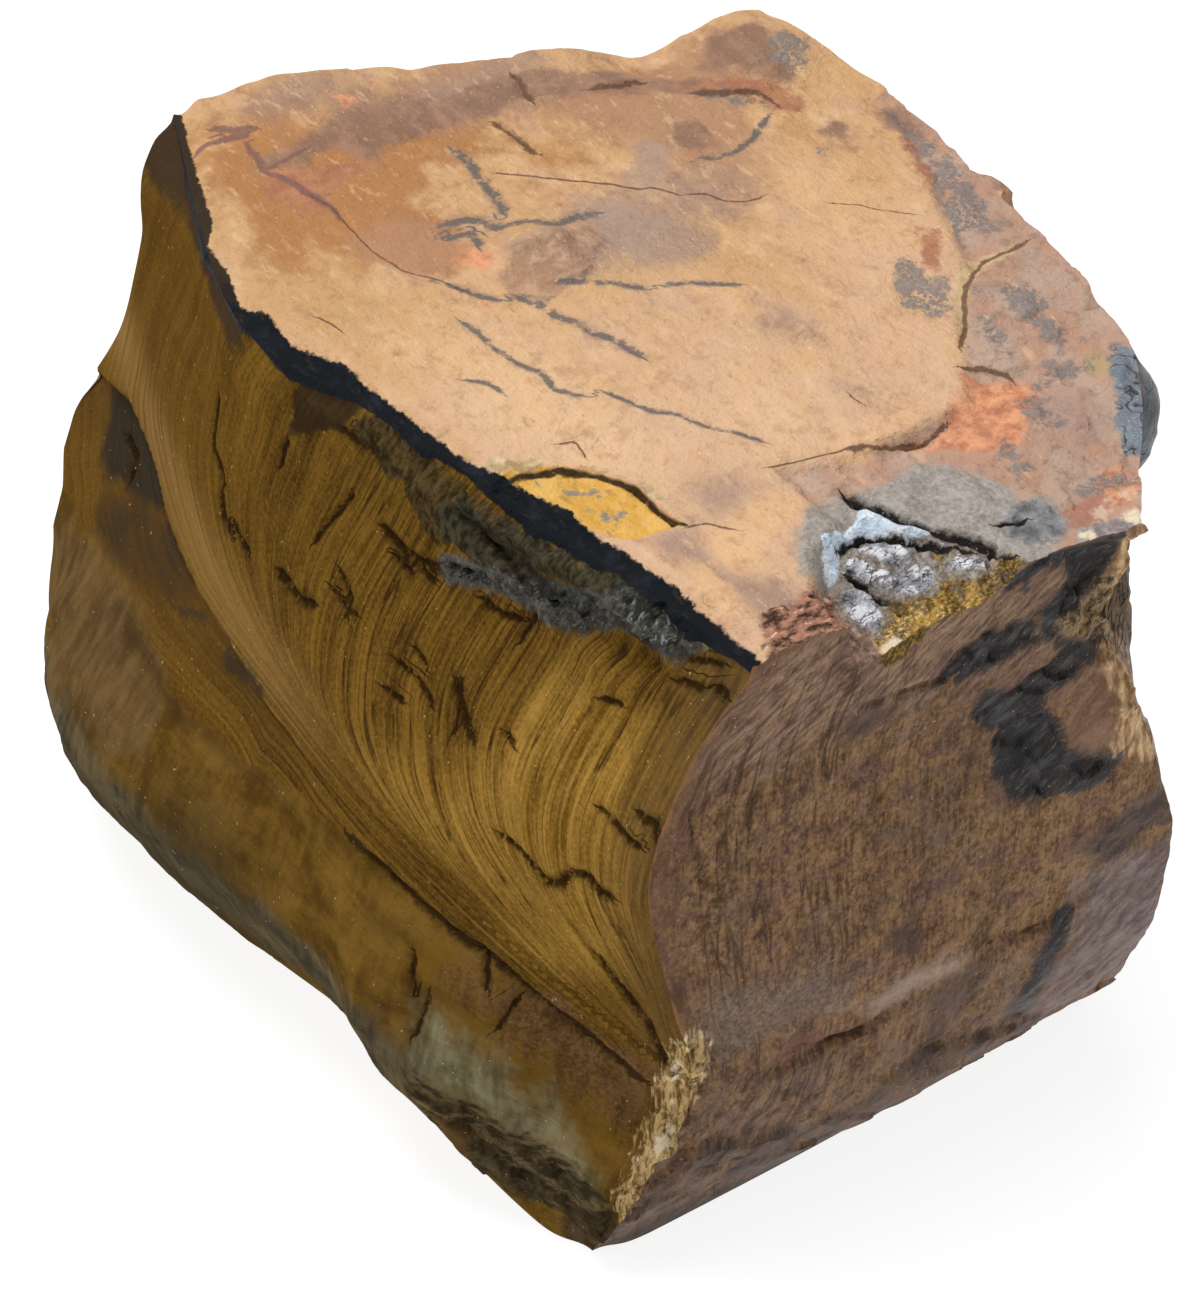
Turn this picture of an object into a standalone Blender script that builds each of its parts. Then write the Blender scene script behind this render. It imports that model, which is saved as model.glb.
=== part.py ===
"""Rough tiger's eye: one hand-size block of stone, broken out of its seam.

The block lies with its flat, tan seam wall on top. Its long -Y side is the split golden
fibre face, which leans out from a dark rim to a rounded toe. Its +X side is the brown
broken end of the fibres. The two meet in a wavy front arris. The origin is the middle of
the footprint, on the surface that the block rests on.

Lengths are in millimetres until the last step, which scales the block to metres.
"""

import bmesh
import bpy
import numpy as np
from mathutils import Vector, noise

MM = 0.001
NAME = "tigers_eye_block"

# Driving dimensions
HEIGHT = 80.0  # from the resting face to the seam wall on top
CENTRE_X = -2.4  # middle of the footprint, in the coordinates of the ribs below
CENTRE_Y = 1.65
CUTS_X = 37  # faces along the block's length, width and height
CUTS_Y = 29
CUTS_Z = 27

# Ribs: upright curves on the four sides, as (x, y) at each of these heights.
LEVELS = (0, 10, 24, 36, 46, 57, 68, 77, 80)
RIB_LEFT_FRONT = ((-47, -37.5), (-52, -39.5), (-52, -39), (-52.5, -36.5), (-54.5, -32.5),
                  (-52.2, -26.8), (-51.5, -24), (-53, -21.5), (-54.5, -17.5))
RIB_TOE_LEFT = ((-34, -37), (-35, -43), (-35, -46), (-35, -40), (-35, -33.5),
                (-35, -30), (-35, -27), (-35, -26), (-35, -25))
RIB_TOE_BULGE = ((-17, -35.5), (-18, -41.5), (-18, -45.5), (-18, -39.5), (-18, -35.5),
                 (-18, -31.5), (-18, -30), (-18, -30.5), (-18, -29.5))
RIB_SLIDE = ((4, -31.5), (4, -37), (4, -42), (4, -38.5), (4, -36),
             (4, -31), (4, -27), (4, -26.5), (4, -25))
RIB_GROOVE = ((24, -32), (26, -37.5), (26, -38), (26, -34), (26, -33),
              (26, -29), (26, -23.5), (26, -22), (26, -20))
RIB_ARRIS = ((43.5, -30), (46.3, -26.5), (48.2, -20), (48.6, -23), (48.8, -25.3),
             (49, -26.4), (49, -22.5), (50, -17.5), (50.3, -16.3))
RIB_BROWN_FACE = ((42.5, 4), (48.7, 4), (50.5, 4), (51.5, 4), (51.5, 4),
                  (51, 4), (51.5, 4), (52, 4), (52.3, 4))
RIB_RIGHT = ((40, 36), (47.3, 33.5), (52, 34), (52, 34), (53.3, 30.5),
             (52.7, 26.7), (52.3, 24.3), (53.5, 25), (53.5, 25))
RIB_BACK_CORNER = ((25, 38), (28, 40), (29, 41), (29, 41), (29, 41),
                   (30, 41), (30, 41.5), (30, 42), (29.5, 42))
RIB_BACK_RIGHT = ((6, 41), (6, 44), (6, 45), (6, 46), (6, 46),
                  (7, 46), (7, 46), (7, 45.3), (7, 44.8))
RIB_BACK_LEFT = ((-18, 41), (-18, 45), (-18, 46), (-18, 47), (-18, 47),
                 (-17, 47), (-17, 47), (-17, 47), (-17, 47))
RIB_LEFT_BACK = ((-38, 38), (-42, 41), (-43, 42), (-42, 43), (-41, 44),
                 (-39, 45), (-37, 44), (-34.5, 43), (-34.5, 42.5))
RIB_END_BACK = ((-47, 17), (-51, 17), (-52, 18), (-52, 18), (-51, 19),
                (-49, 20), (-45, 21), (-42, 21), (-42, 21))
RIB_END_FRONT = ((-52, -4), (-56, -5), (-57, -5), (-57, -4), (-56, -3),
                 (-54, -2), (-52, -2), (-51, -2), (-51, -2))

# The four sides: their ribs, and how far along the side each rib stands
GOLD_SIDE = ((RIB_LEFT_FRONT, RIB_TOE_LEFT, RIB_TOE_BULGE, RIB_SLIDE, RIB_GROOVE, RIB_ARRIS),
             (0, 0.19, 0.35, 0.56, 0.77, 1))
BROWN_SIDE = ((RIB_ARRIS, RIB_BROWN_FACE, RIB_RIGHT), (0, 0.5, 1))
BACK_SIDE = ((RIB_LEFT_BACK, RIB_BACK_LEFT, RIB_BACK_RIGHT, RIB_BACK_CORNER, RIB_RIGHT),
             (0, 0.2, 0.44, 0.68, 1))
LEFT_END = ((RIB_LEFT_FRONT, RIB_END_FRONT, RIB_END_BACK, RIB_LEFT_BACK), (0, 0.28, 0.63, 1))

# Relief of the seam wall on top, in plan
TOP_FADE = (56, 78)  # heights between which the sides start to follow the top's relief
RIM_DROP = 1.3  # the dark rim along the golden side slopes down by this much
RIM_WIDTH = 2.8
CRUST_EDGE = ((-17, 44), (-13, 45), (-4, 42), (3, 39), (14, 35), (17, 31), (23, 27),
              (31, 22), (32, 11), (31, 5.5), (29, 1), (40, 1), (70, 10), (70, 60), (-20, 60))
CRUST_DROP = 0.9
FLAKE_EDGE = ((15, -24), (16.5, -18.5), (18, -16), (20, -13), (24.5, -11.5), (31, -11),
              (31, -15.5), (29, -18.5), (26, -24))
FLAKE_DEPTH = 2.0
POCKET_EDGE = ((38.5, 1), (39, 4.5), (44.5, 7.5), (50.5, 11.5), (58, 14), (58, -7),
               (49, -7), (45, -6), (41, -3))
POCKET_SILL = ((38, 2), (44.5, 7.5), (58, 14))
POCKET_STEP = 1.3
POCKET_SLOPE = 0.3
CRUSTY_LUMP = (-12, 0)
CORNER_PEAK = (-32, 40)
END_PEAK = (-49, -9)

# Relief of the sides
CREASE = ((-56, 51), (-32, 47), (-18, 44), (2, 40), (17, 37), (32, 34), (46, 29), (54, 27))
RIM_NOTCH = ((12, 77), (22, 78), (32, 77.5), (41, 76), (43, 73), (38, 69), (30, 69.5),
             (20, 72), (12, 75))
RIM_NOTCH_DEPTH = 1.8
RIGHT_CHIP = ((16, 80), (19, 70), (22, 62), (28, 60), (28, 80))
RIGHT_CHIP_DEPTH = 1.5
KNOB = (33, 40, 72.5)
KNOB_REACH = 3.5
BACK_STEPS = ((-20, 0.25, 2.2), (20, -0.2, -2.6))  # where each starts, its lean and its height
END_STEPS = ((6, 0.15, 2.0), (26, -0.25, -1.6))


def curve(knots, values, at):
    """A smooth curve through values at knots, read at each place in at."""
    knots = np.asarray(knots, float)
    values = np.asarray(values, float)
    slopes = np.gradient(values, knots, axis=0)
    first = np.clip(np.searchsorted(knots, at, side="right") - 1, 0, len(knots) - 2)
    pick = (first,) if values.ndim == 2 else (first, np.arange(len(at)))
    after = (first + 1,) + pick[1:]
    gap = (knots[first + 1] - knots[first])[:, None]
    t = ((at - knots[first]) / gap[:, 0])[:, None]
    return (
        (1 + 2 * t) * (1 - t) ** 2 * values[pick]
        + t * (1 - t) ** 2 * gap * slopes[pick]
        + t**2 * (3 - 2 * t) * values[after]
        + t**2 * (t - 1) * gap * slopes[after]
    )


def smooth(low, high, value):
    """0 at low, 1 at high, with an S-curve between."""
    t = np.clip((value - low) / (high - low), 0, 1)
    return t * t * (3 - 2 * t)


def distance_to(line, x, y):
    """Distance in plan from an open line of points."""
    nearest = np.full(len(x), np.inf)
    for (ax, ay), (bx, by) in zip(line, line[1:]):
        ex, ey = bx - ax, by - ay
        t = np.clip(((x - ax) * ex + (y - ay) * ey) / (ex * ex + ey * ey), 0, 1)
        nearest = np.minimum(nearest, np.hypot(x - ax - t * ex, y - ay - t * ey))
    return nearest


def inside(corners, x, y):
    """Distance in from the edge of a closed outline, negative outside it."""
    closed = tuple(corners) + (corners[0],)
    within = np.zeros(len(x), bool)
    for (ax, ay), (bx, by) in zip(closed, closed[1:]):
        if ay != by:
            spans = (ay > y) != (by > y)
            within ^= spans & (x < ax + (y - ay) * (bx - ax) / (by - ay))
    edge = distance_to(closed, x, y)
    return np.where(within, edge, -edge)


def waves(points, size, seed):
    """Soft random relief of about -1 to 1, with bumps of this size."""
    shift = Vector((17.3 * seed, -9.1 * seed, 4.7 * seed))
    return np.array([noise.noise(Vector(point) / size + shift) for point in points])


def ridges(points, size, seed):
    """Random relief of about -1 to 1 that folds into sharp ridges, as broken rock does."""
    return 0.6 - 2.4 * np.abs(waves(points, size, seed))


def steps(rises, along, z):
    """Steps in a side: each starts at its place along the base and leans as it goes up."""
    return sum(rise * smooth(-1.2, 1.2, along - start - lean * z) for start, lean, rise in rises)


def side(ribs_and_places, along, height):
    """Plan positions on one side, `along` it from 0 to 1, at each height."""
    ribs, places = ribs_and_places
    at_height = np.stack([curve(LEVELS, rib, height) for rib in ribs])
    return curve(places, at_height, along)


def plan_position(u, v, height):
    """Plan positions in a block whose four sides are the ribbed ones (a Coons patch)."""
    left_front, arris, right, left_back = (
        curve(LEVELS, rib, height)
        for rib in (RIB_LEFT_FRONT, RIB_ARRIS, RIB_RIGHT, RIB_LEFT_BACK))
    u, v, across, along = u[:, None], v[:, None], u, v
    return (
        (1 - v) * side(GOLD_SIDE, across, height)
        + v * side(BACK_SIDE, across, height)
        + (1 - u) * side(LEFT_END, along, height)
        + u * side(BROWN_SIDE, along, height)
        - (1 - u) * (1 - v) * left_front
        - u * (1 - v) * arris
        - u * v * right
        - (1 - u) * v * left_back
    )


def top_relief(x, y):
    """How far the seam wall stands above (or, negative, below) the block's height."""
    points = np.column_stack((x, y, np.full(len(x), HEIGHT)))
    crusty = np.exp(-((x - CRUSTY_LUMP[0]) ** 2 + (y - CRUSTY_LUMP[1]) ** 2) / 20)
    corner = np.exp(-((x - CORNER_PEAK[0]) ** 2 + (y - CORNER_PEAK[1]) ** 2) / 60)
    end = np.exp(-((x - END_PEAK[0]) ** 2 + (y - END_PEAK[1]) ** 2) / 90)
    crust = smooth(-0.8, 0.8, inside(CRUST_EDGE, x, y))
    flake = smooth(0, 1.6, inside(FLAKE_EDGE, x, y))
    pocket = smooth(-0.5, 1.5, inside(POCKET_EDGE, x, y))
    pocket_floor = POCKET_STEP + POCKET_SLOPE * distance_to(POCKET_SILL, x, y)
    rim_line = [rib[-1] for rib in GOLD_SIDE[0]]
    rim = smooth(RIM_WIDTH, 0.4, distance_to(rim_line, x, y))
    return (
        0.6 * waves(points, 24, 1)
        + 0.3 * waves(points, 8, 2) * (1 + crust)
        + 1.6 * crusty
        + 1.8 * corner
        + 0.7 * end
        - CRUST_DROP * crust
        - FLAKE_DEPTH * flake
        - RIM_DROP * rim
        - pocket_floor * pocket
    )


def side_relief(points, u, v):
    """How far the skin of the four sides stands out from the ribbed shape."""
    x, y, z = points.T
    gold, brown = v == 0, u == 1
    hidden = ((v == 1) | (u == 0)) & ~gold & ~brown
    crease = np.interp(x, *np.transpose(CREASE))
    toe = smooth(0, 3, crease - z)
    out = np.zeros(len(points))
    out += gold * (0.35 * waves(points, 14, 3) + 0.8 * toe * ridges(points, 12, 4))
    out -= gold * RIM_NOTCH_DEPTH * smooth(0, 1.5, inside(RIM_NOTCH, x, z))
    out += brown * (0.5 * waves(points, 12, 5) + 0.6 * ridges(points, 18, 6))
    out -= brown * RIGHT_CHIP_DEPTH * smooth(0, 2.5, inside(RIGHT_CHIP, y, z))
    away = smooth(0, 0.15, np.where(u == 0, v, 1 - u))
    out += hidden * away * (1.2 * waves(points, 25, 7) + 1.6 * ridges(points, 24, 8))
    out += (v == 1) * away * steps(BACK_STEPS, x, z)
    out += (u == 0) * away * steps(END_STEPS, y, z)
    knob_distance = np.linalg.norm(points - KNOB, axis=1)
    out += (v == 1) * KNOB_REACH * smooth(9, 3, knob_distance)
    return out * smooth(0, 8, z)


def cut_cube():
    """A cube from 0 to 1 whose faces are cut into the block's grid."""
    mesh = bmesh.new()
    bmesh.ops.create_cube(mesh, size=1)
    bmesh.ops.translate(mesh, vec=(0.5, 0.5, 0.5), verts=mesh.verts)
    for axis, cuts in enumerate((CUTS_X, CUTS_Y, CUTS_Z)):
        edges = [edge for edge in mesh.edges
                 if abs(edge.verts[0].co[axis] - edge.verts[1].co[axis]) > 0.5]
        bmesh.ops.subdivide_edges(mesh, edges=edges, cuts=cuts - 1, use_grid_fill=True)
    bmesh.ops.recalc_face_normals(mesh, faces=mesh.faces)
    return mesh


def move_to(mesh, points):
    for vertex, point in zip(mesh.verts, points):
        vertex.co = point
    mesh.normal_update()


def block_mesh():
    """The block: the cut cube moved onto the ribs, then given its relief."""
    mesh = cut_cube()
    u, v, w = np.round([vertex.co for vertex in mesh.verts], 6).T
    plan = plan_position(u, v, w * HEIGHT)
    points = np.column_stack((plan, w * HEIGHT))
    move_to(mesh, points)
    normals = np.array([vertex.normal for vertex in mesh.verts])
    flat = normals * (1, 1, 0)
    points = points + flat * side_relief(points, u, v)[:, None]
    points[:, 2] += top_relief(points[:, 0], points[:, 1]) * smooth(*TOP_FADE, points[:, 2])
    move_to(mesh, points - (CENTRE_X, CENTRE_Y, 0))
    base = [edge for edge in mesh.edges if all(vertex.co.z == 0 for vertex in edge.verts)]
    inner = [edge for edge in base if all(face.normal.z < -0.999 for face in edge.link_faces)]
    bmesh.ops.dissolve_edges(mesh, edges=inner, use_verts=True)
    return mesh


def stone_material():
    """Golden brown stone with a silky, slightly glossy break."""
    material = bpy.data.materials.new("tigers_eye_stone")
    material.use_nodes = True
    shader = material.node_tree.nodes["Principled BSDF"]
    shader.inputs["Base Color"].default_value = (0.30, 0.17, 0.06, 1)
    shader.inputs["Roughness"].default_value = 0.5
    shader.inputs["Metallic"].default_value = 0
    return material


def clear_scene():
    for thing in list(bpy.data.objects):
        bpy.data.objects.remove(thing, do_unlink=True)


def main():
    clear_scene()
    mesh = block_mesh()
    bmesh.ops.scale(mesh, vec=(MM, MM, MM), verts=mesh.verts)
    data = bpy.data.meshes.new(NAME)
    mesh.to_mesh(data)
    mesh.free()
    data.materials.append(stone_material())
    stone = bpy.data.objects.new(NAME, data)
    collection = bpy.data.collections.new("rough_tigers_eye")
    bpy.context.scene.collection.children.link(collection)
    collection.objects.link(stone)


main()
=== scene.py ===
"""Looks of the rough tiger's eye block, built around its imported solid.

One closed piece, `tigers_eye`, stands for the solid. It has the solid's own ribs and relief,
cut much finer, with the small forms added: ledges, cracks, chips, the flake window, the silver
pocket, the fibre folds and the crease. Its four procedural materials are the seam wall on top,
the golden fibre face, the brown end face and the fibrous broken sides behind.

Lengths are in millimetres, in the coordinates of the solid's ribs, until `to_frame` moves them
into the frame and turns them to metres. On each side a point is named by its place along the
side and its height: (x, z) on the golden face, (y, z) on the brown face, (x, y) on top.
"""

import math

import bpy
import numpy as np
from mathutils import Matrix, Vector, noise


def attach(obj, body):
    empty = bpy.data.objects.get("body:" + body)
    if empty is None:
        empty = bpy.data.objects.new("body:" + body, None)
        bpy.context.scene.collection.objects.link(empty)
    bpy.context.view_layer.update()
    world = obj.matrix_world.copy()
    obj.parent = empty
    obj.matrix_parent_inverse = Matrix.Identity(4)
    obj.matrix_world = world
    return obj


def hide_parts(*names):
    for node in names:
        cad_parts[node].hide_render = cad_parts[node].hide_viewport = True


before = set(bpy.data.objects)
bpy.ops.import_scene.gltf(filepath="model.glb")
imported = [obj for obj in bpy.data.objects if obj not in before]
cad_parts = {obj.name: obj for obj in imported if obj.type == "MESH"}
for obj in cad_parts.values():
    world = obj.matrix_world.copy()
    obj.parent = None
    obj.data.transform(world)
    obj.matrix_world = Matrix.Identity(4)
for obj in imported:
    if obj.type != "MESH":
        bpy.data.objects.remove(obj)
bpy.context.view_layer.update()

MM = 0.001
HEIGHT = 80.0
CENTRE_X = -2.4
CENTRE_Y = 1.65

# Grid of the visible sides; the back and the left end have every second line. Even numbers.
FINE_X = 196
FINE_Y = 156
FINE_Z = 150
LOW_ROWS = (0.45, 0.55)  # this share of the rows covers this share of the height, from the base

# ------------------------------------------------------------------ the solid's own form

LEVELS = (0, 10, 24, 36, 46, 57, 68, 77, 80)
RIB_LEFT_FRONT = ((-47, -37.5), (-52, -39.5), (-52, -39), (-52.5, -36.5), (-54.5, -32.5),
                  (-52.2, -26.8), (-51.5, -24), (-53, -21.5), (-54.5, -17.5))
RIB_TOE_LEFT = ((-34, -37), (-35, -43), (-35, -46), (-35, -40), (-35, -33.5),
                (-35, -30), (-35, -27), (-35, -26), (-35, -25))
RIB_TOE_BULGE = ((-17, -35.5), (-18, -41.5), (-18, -45.5), (-18, -39.5), (-18, -35.5),
                 (-18, -31.5), (-18, -30), (-18, -30.5), (-18, -29.5))
RIB_SLIDE = ((4, -31.5), (4, -37), (4, -42), (4, -38.5), (4, -36),
             (4, -31), (4, -27), (4, -26.5), (4, -25))
RIB_GROOVE = ((24, -32), (26, -37.5), (26, -38), (26, -34), (26, -33),
              (26, -29), (26, -23.5), (26, -22), (26, -20))
RIB_ARRIS = ((43.5, -30), (46.3, -26.5), (48.2, -20), (48.6, -23), (48.8, -25.3),
             (49, -26.4), (49, -22.5), (50, -17.5), (50.3, -16.3))
RIB_BROWN_FACE = ((42.5, 4), (48.7, 4), (50.5, 4), (51.5, 4), (51.5, 4),
                  (51, 4), (51.5, 4), (52, 4), (52.3, 4))
RIB_RIGHT = ((40, 36), (47.3, 33.5), (52, 34), (52, 34), (53.3, 30.5),
             (52.7, 26.7), (52.3, 24.3), (53.5, 25), (53.5, 25))
RIB_BACK_CORNER = ((25, 38), (28, 40), (29, 41), (29, 41), (29, 41),
                   (30, 41), (30, 41.5), (30, 42), (29.5, 42))
RIB_BACK_RIGHT = ((6, 41), (6, 44), (6, 45), (6, 46), (6, 46),
                  (7, 46), (7, 46), (7, 45.3), (7, 44.8))
RIB_BACK_LEFT = ((-18, 41), (-18, 45), (-18, 46), (-18, 47), (-18, 47),
                 (-17, 47), (-17, 47), (-17, 47), (-17, 47))
RIB_LEFT_BACK = ((-38, 38), (-42, 41), (-43, 42), (-42, 43), (-41, 44),
                 (-39, 45), (-37, 44), (-34.5, 43), (-34.5, 42.5))
RIB_END_BACK = ((-47, 17), (-51, 17), (-52, 18), (-52, 18), (-51, 19),
                (-49, 20), (-45, 21), (-42, 21), (-42, 21))
RIB_END_FRONT = ((-52, -4), (-56, -5), (-57, -5), (-57, -4), (-56, -3),
                 (-54, -2), (-52, -2), (-51, -2), (-51, -2))
GOLD_SIDE = ((RIB_LEFT_FRONT, RIB_TOE_LEFT, RIB_TOE_BULGE, RIB_SLIDE, RIB_GROOVE, RIB_ARRIS),
             (0, 0.19, 0.35, 0.56, 0.77, 1))
BROWN_SIDE = ((RIB_ARRIS, RIB_BROWN_FACE, RIB_RIGHT), (0, 0.5, 1))
BACK_SIDE = ((RIB_LEFT_BACK, RIB_BACK_LEFT, RIB_BACK_RIGHT, RIB_BACK_CORNER, RIB_RIGHT),
             (0, 0.2, 0.44, 0.68, 1))
LEFT_END = ((RIB_LEFT_FRONT, RIB_END_FRONT, RIB_END_BACK, RIB_LEFT_BACK), (0, 0.28, 0.63, 1))

TOP_FADE = (56, 78)
RIM_DROP = 1.3
RIM_WIDTH = 2.8
CRUST_EDGE = ((-17, 44), (-13, 45), (-4, 42), (3, 39), (14, 35), (17, 31), (23, 27),
              (31, 22), (32, 11), (31, 5.5), (29, 1), (40, 1), (70, 10), (70, 60), (-20, 60))
CRUST_DROP = 0.9
FLAKE_EDGE = ((15, -24), (16.5, -18.5), (18, -16), (20, -13), (24.5, -11.5), (31, -11),
              (31, -15.5), (29, -18.5), (26, -24))
FLAKE_DEPTH = 0.9
TIP_ROUND = 2.2
POCKET_EDGE = ((38.5, 1), (39, 4.5), (44.5, 7.5), (50.5, 11.5), (58, 14), (58, -7),
               (49, -7), (45, -6), (41, -3))
POCKET_SILL = ((38, 2), (44.5, 7.5), (58, 14))
POCKET_STEP = 1.3
POCKET_SLOPE = 0.3
CRUSTY_LUMP = (-12, 0)
CRUSTY_LUMP_SPREAD = 26
CORNER_PEAK = (-32, 40)
END_PEAK = (-49, -9)
CREASE = ((-56, 51), (-32, 47), (-18, 44), (2, 40), (17, 37), (32, 34), (46, 29), (54, 27))
RIM_NOTCH = ((12, 77), (22, 78), (32, 77.5), (41, 76), (43, 73), (38, 69), (30, 69.5),
             (20, 72), (12, 75))
RIM_NOTCH_DEPTH = 1.8
RIGHT_CHIP = ((16, 80), (19, 70), (22, 62), (28, 60), (28, 80))
RIGHT_CHIP_DEPTH = 1.5
KNOB = (33, 40, 72.5)
KNOB_REACH = 3.5
BACK_STEPS = ((-20, 0.25, 2.2), (20, -0.2, -2.6))
END_STEPS = ((6, 0.15, 2.0), (26, -0.25, -1.6))

# ------------------------------------------------------------------ fine forms, by side

# Top, in plan (x, y)
FLAKE_WINDOW = ((14.8, -22.5), (16.0, -18.8), (17.8, -16.0), (20.2, -13.2), (24.4, -11.6),
                (28.0, -11.5), (31.5, -11.0), (30.6, -13.0), (30.0, -16.0), (26, -17.8),
                (22, -19.3), (18, -21.2))
FLAKE_LIPS = (
    ((12.6, -21.1), (13.7, -20.1), (15.3, -18.9), (15.3, -16.7), (16.2, -16.4), (16.8, -17.1),
     (16.8, -18.7), (15.0, -20.9), (13.8, -21.5)),
    ((23.7, -10.9), (25.8, -10.6), (26.7, -10.1), (27.7, -10.5), (26.8, -11.3), (25.5, -11.5)),
)
FLAKE_SPECKS = (
    ((20.0, -16.6), (21.1, -15.7), (21.6, -16.3), (20.9, -17.3)),
    ((21.0, -15.2), (22.1, -14.3), (22.6, -14.7), (21.8, -15.5)),
    ((24.0, -16.5), (25.5, -15.2), (26.0, -14.1), (26.9, -15.2), (25.8, -16.3), (24.8, -16.7)),
)
DARK_LUMP = ((45.5, 15.7), (45.5, 19.4), (49.1, 19.4), (51.1, 17.6), (50.1, 13.7), (47.4, 13.3))
GREY_PATCH = ((42.5, -6.2), (38.9, -3.7), (36.3, -1.2), (34.5, 2.0), (34.9, 4.6), (35.8, 8.0),
              (34.7, 11.7), (35.2, 14.3), (38.2, 16.1), (40.3, 16.8), (42.2, 17.8), (45.2, 17.3),
              (45.7, 19.8), (48.5, 20.0), (50.5, 18.4), (52.0, 16.0), (60, 16), (60, -3),
              (51.9, -1.1), (44.3, -4.8), (43.8, -5.8))
# A glossy grey-blue strip in the pocket, raised a little; its bright blue-white colour is a
# painted reflection.
GLOSSY_STRIP = ((43.2, -3.1), (42.4, -3.2), (41.8, -2.6), (39.9, -1.8), (39.7, -0.7), (39.4, 1.1),
                (39.1, 2.9), (38.1, 3.7), (37.9, 4.8), (39.4, 5.5), (41.2, 6.4), (42.5, 7.5),
                (43.9, 8.1), (44.4, 7.5), (43.4, 6.5), (41.9, 5.3), (40.8, 4.2), (40.2, 2.8),
                (40.3, 1.1), (40.7, 0.2), (41.3, -0.5), (42.4, -1.4), (43.2, -2.5))
SILVER_TAIL = ((43.9, 8.1), (45.5, 8.9), (46.9, 10.5), (47.9, 11.1), (48.2, 12.2), (49.1, 11.8),
               (48.3, 10.9), (46.4, 9.4), (45.7, 7.9), (44.6, 7.4))
BROWN_CORNER = ((46.3, -4.4), (47.9, -4.4), (48.9, -3.7), (49.8, -2.6), (51.2, -3.1), (51.7, -2.8),
                (54.0, -3.2), (56, -5), (56, -10), (51.4, -8.1))
SILVER_FLAKES = (
    ((41.1, 1.0), (41.1, 2.7), (41.6, 3.9), (42.8, 4.8), (44.2, 5.4), (45.0, 5.5), (45.4, 4.4),
     (44.9, 3.1), (43.7, 2.4), (42.3, 2.0)),
    ((42.3, -0.9), (41.9, 0.2), (42.9, 0.9), (44.4, 1.4), (45.4, 2.3), (45.7, 3.7), (45.7, 5.2),
     (46.3, 6.2), (47.6, 5.9), (48.4, 4.7), (48.4, 2.9), (47.5, 1.5), (45.9, 0.6), (44.2, -0.2),
     (43.1, -1.0)),
    ((44.4, -2.4), (44.7, -1.3), (46.0, -0.6), (47.3, -0.4), (48.8, -1.2), (49.6, -2.2),
     (48.4, -3.0), (46.7, -3.1), (45.4, -3.1)),
    ((47.3, 7.7), (47.6, 8.6), (48.5, 9.5), (49.5, 10.2), (49.8, 9.7), (49.3, 8.5), (48.4, 7.6)),
)
POCKET_CRACKS = (  # half width, line
    (0.75, ((35.2, 4.8), (36.6, 5.1), (38.0, 5.5), (39.5, 6.0), (41.2, 6.6), (42.5, 7.7),
            (43.9, 8.6), (45.1, 9.2), (46.3, 10.4), (47.3, 11.0), (48.7, 11.2))),
    (0.32, ((40.8, -0.3), (40.4, 0.8), (40.3, 2.5), (40.9, 3.8), (42.0, 4.9), (43.4, 6.0),
            (44.6, 6.9), (45.9, 7.8), (46.8, 9.2), (48.6, 10.7), (50.7, 12.2))),
    (0.32, ((43.2, -0.9), (44.7, -0.4), (46.3, -0.1), (47.6, 0.3))),
    (0.35, ((46.6, 13.9), (47.0, 14.9), (47.3, 15.9))),
)
DRUSE = ((46.9, -0.8), (47.3, 0.9), (48.8, 2.6), (48.5, 5.2), (45.4, 7.0), (47.3, 10.0),
         (50.6, 12.5), (58, 13), (58, -4), (51.6, -3.2), (49.7, -3.0), (48.1, -2.1))
CRYSTALS = ((45.7, -12.5), (46.2, -10.7), (46.1, -8.4), (43.6, -3.2), (45.2, -2.0),
            (47.3, -3.5), (56, -5), (56, -14), (50.4, -14.7), (48.7, -14.3))
CREAM_SPOTS = ((52.2, -1.9, 1.3), (52.6, 19.8, 0.9), (52.6, 25.0, 1.3))
FLAKE_WALL = ((15.4, -22.6), (16.0, -20.6), (16.8, -18.4), (17.9, -16.0), (20.3, -13.2),
              (24.4, -11.6), (28.0, -11.5), (31.5, -11.0))
TOP_LEDGES = (  # line, drop on its left side, how far the drop reaches
    (((13.5, 41.9), (13.8, 38.5), (13.5, 36.3), (14.6, 34.3), (16.2, 32.1), (18.8, 29.9),
      (23.2, 28.5)), -0.9, 5),
    (((26.0, 24.8), (26.7, 26.3), (28.1, 27.9), (29.4, 28.3)), -0.6, 4),
    (((29.8, 6.5), (31.4, 9.8), (31.2, 11.8), (32.4, 14.5), (32.2, 18.2), (30.0, 21.0)), -0.7, 5),
    (((-33.9, 9.0), (-31.8, 9.6), (-29.4, 9.5), (-27.1, 9.9), (-24.5, 12.6)), 0.6, 4),
    (((-38.6, 14.2), (-37.1, 14.1), (-35.3, 14.2)), 0.5, 3),
    (((-33.8, 20.7), (-32.6, 23.7), (-32.6, 26.8)), -0.6, 4),
    (((-27.4, 29.0), (-25.3, 31.4), (-24.0, 34.3), (-22.1, 35.6)), -0.6, 4),
    (((-16.1, -1.5), (-14.5, 0.9), (-11.0, 2.2), (-8.2, 0.6), (-7.2, -3.2)), -0.5, 3),
    (((34.0, -13.2), (37.6, -12.4), (41.0, -12.6)), 0.4, 3),
)
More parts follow.
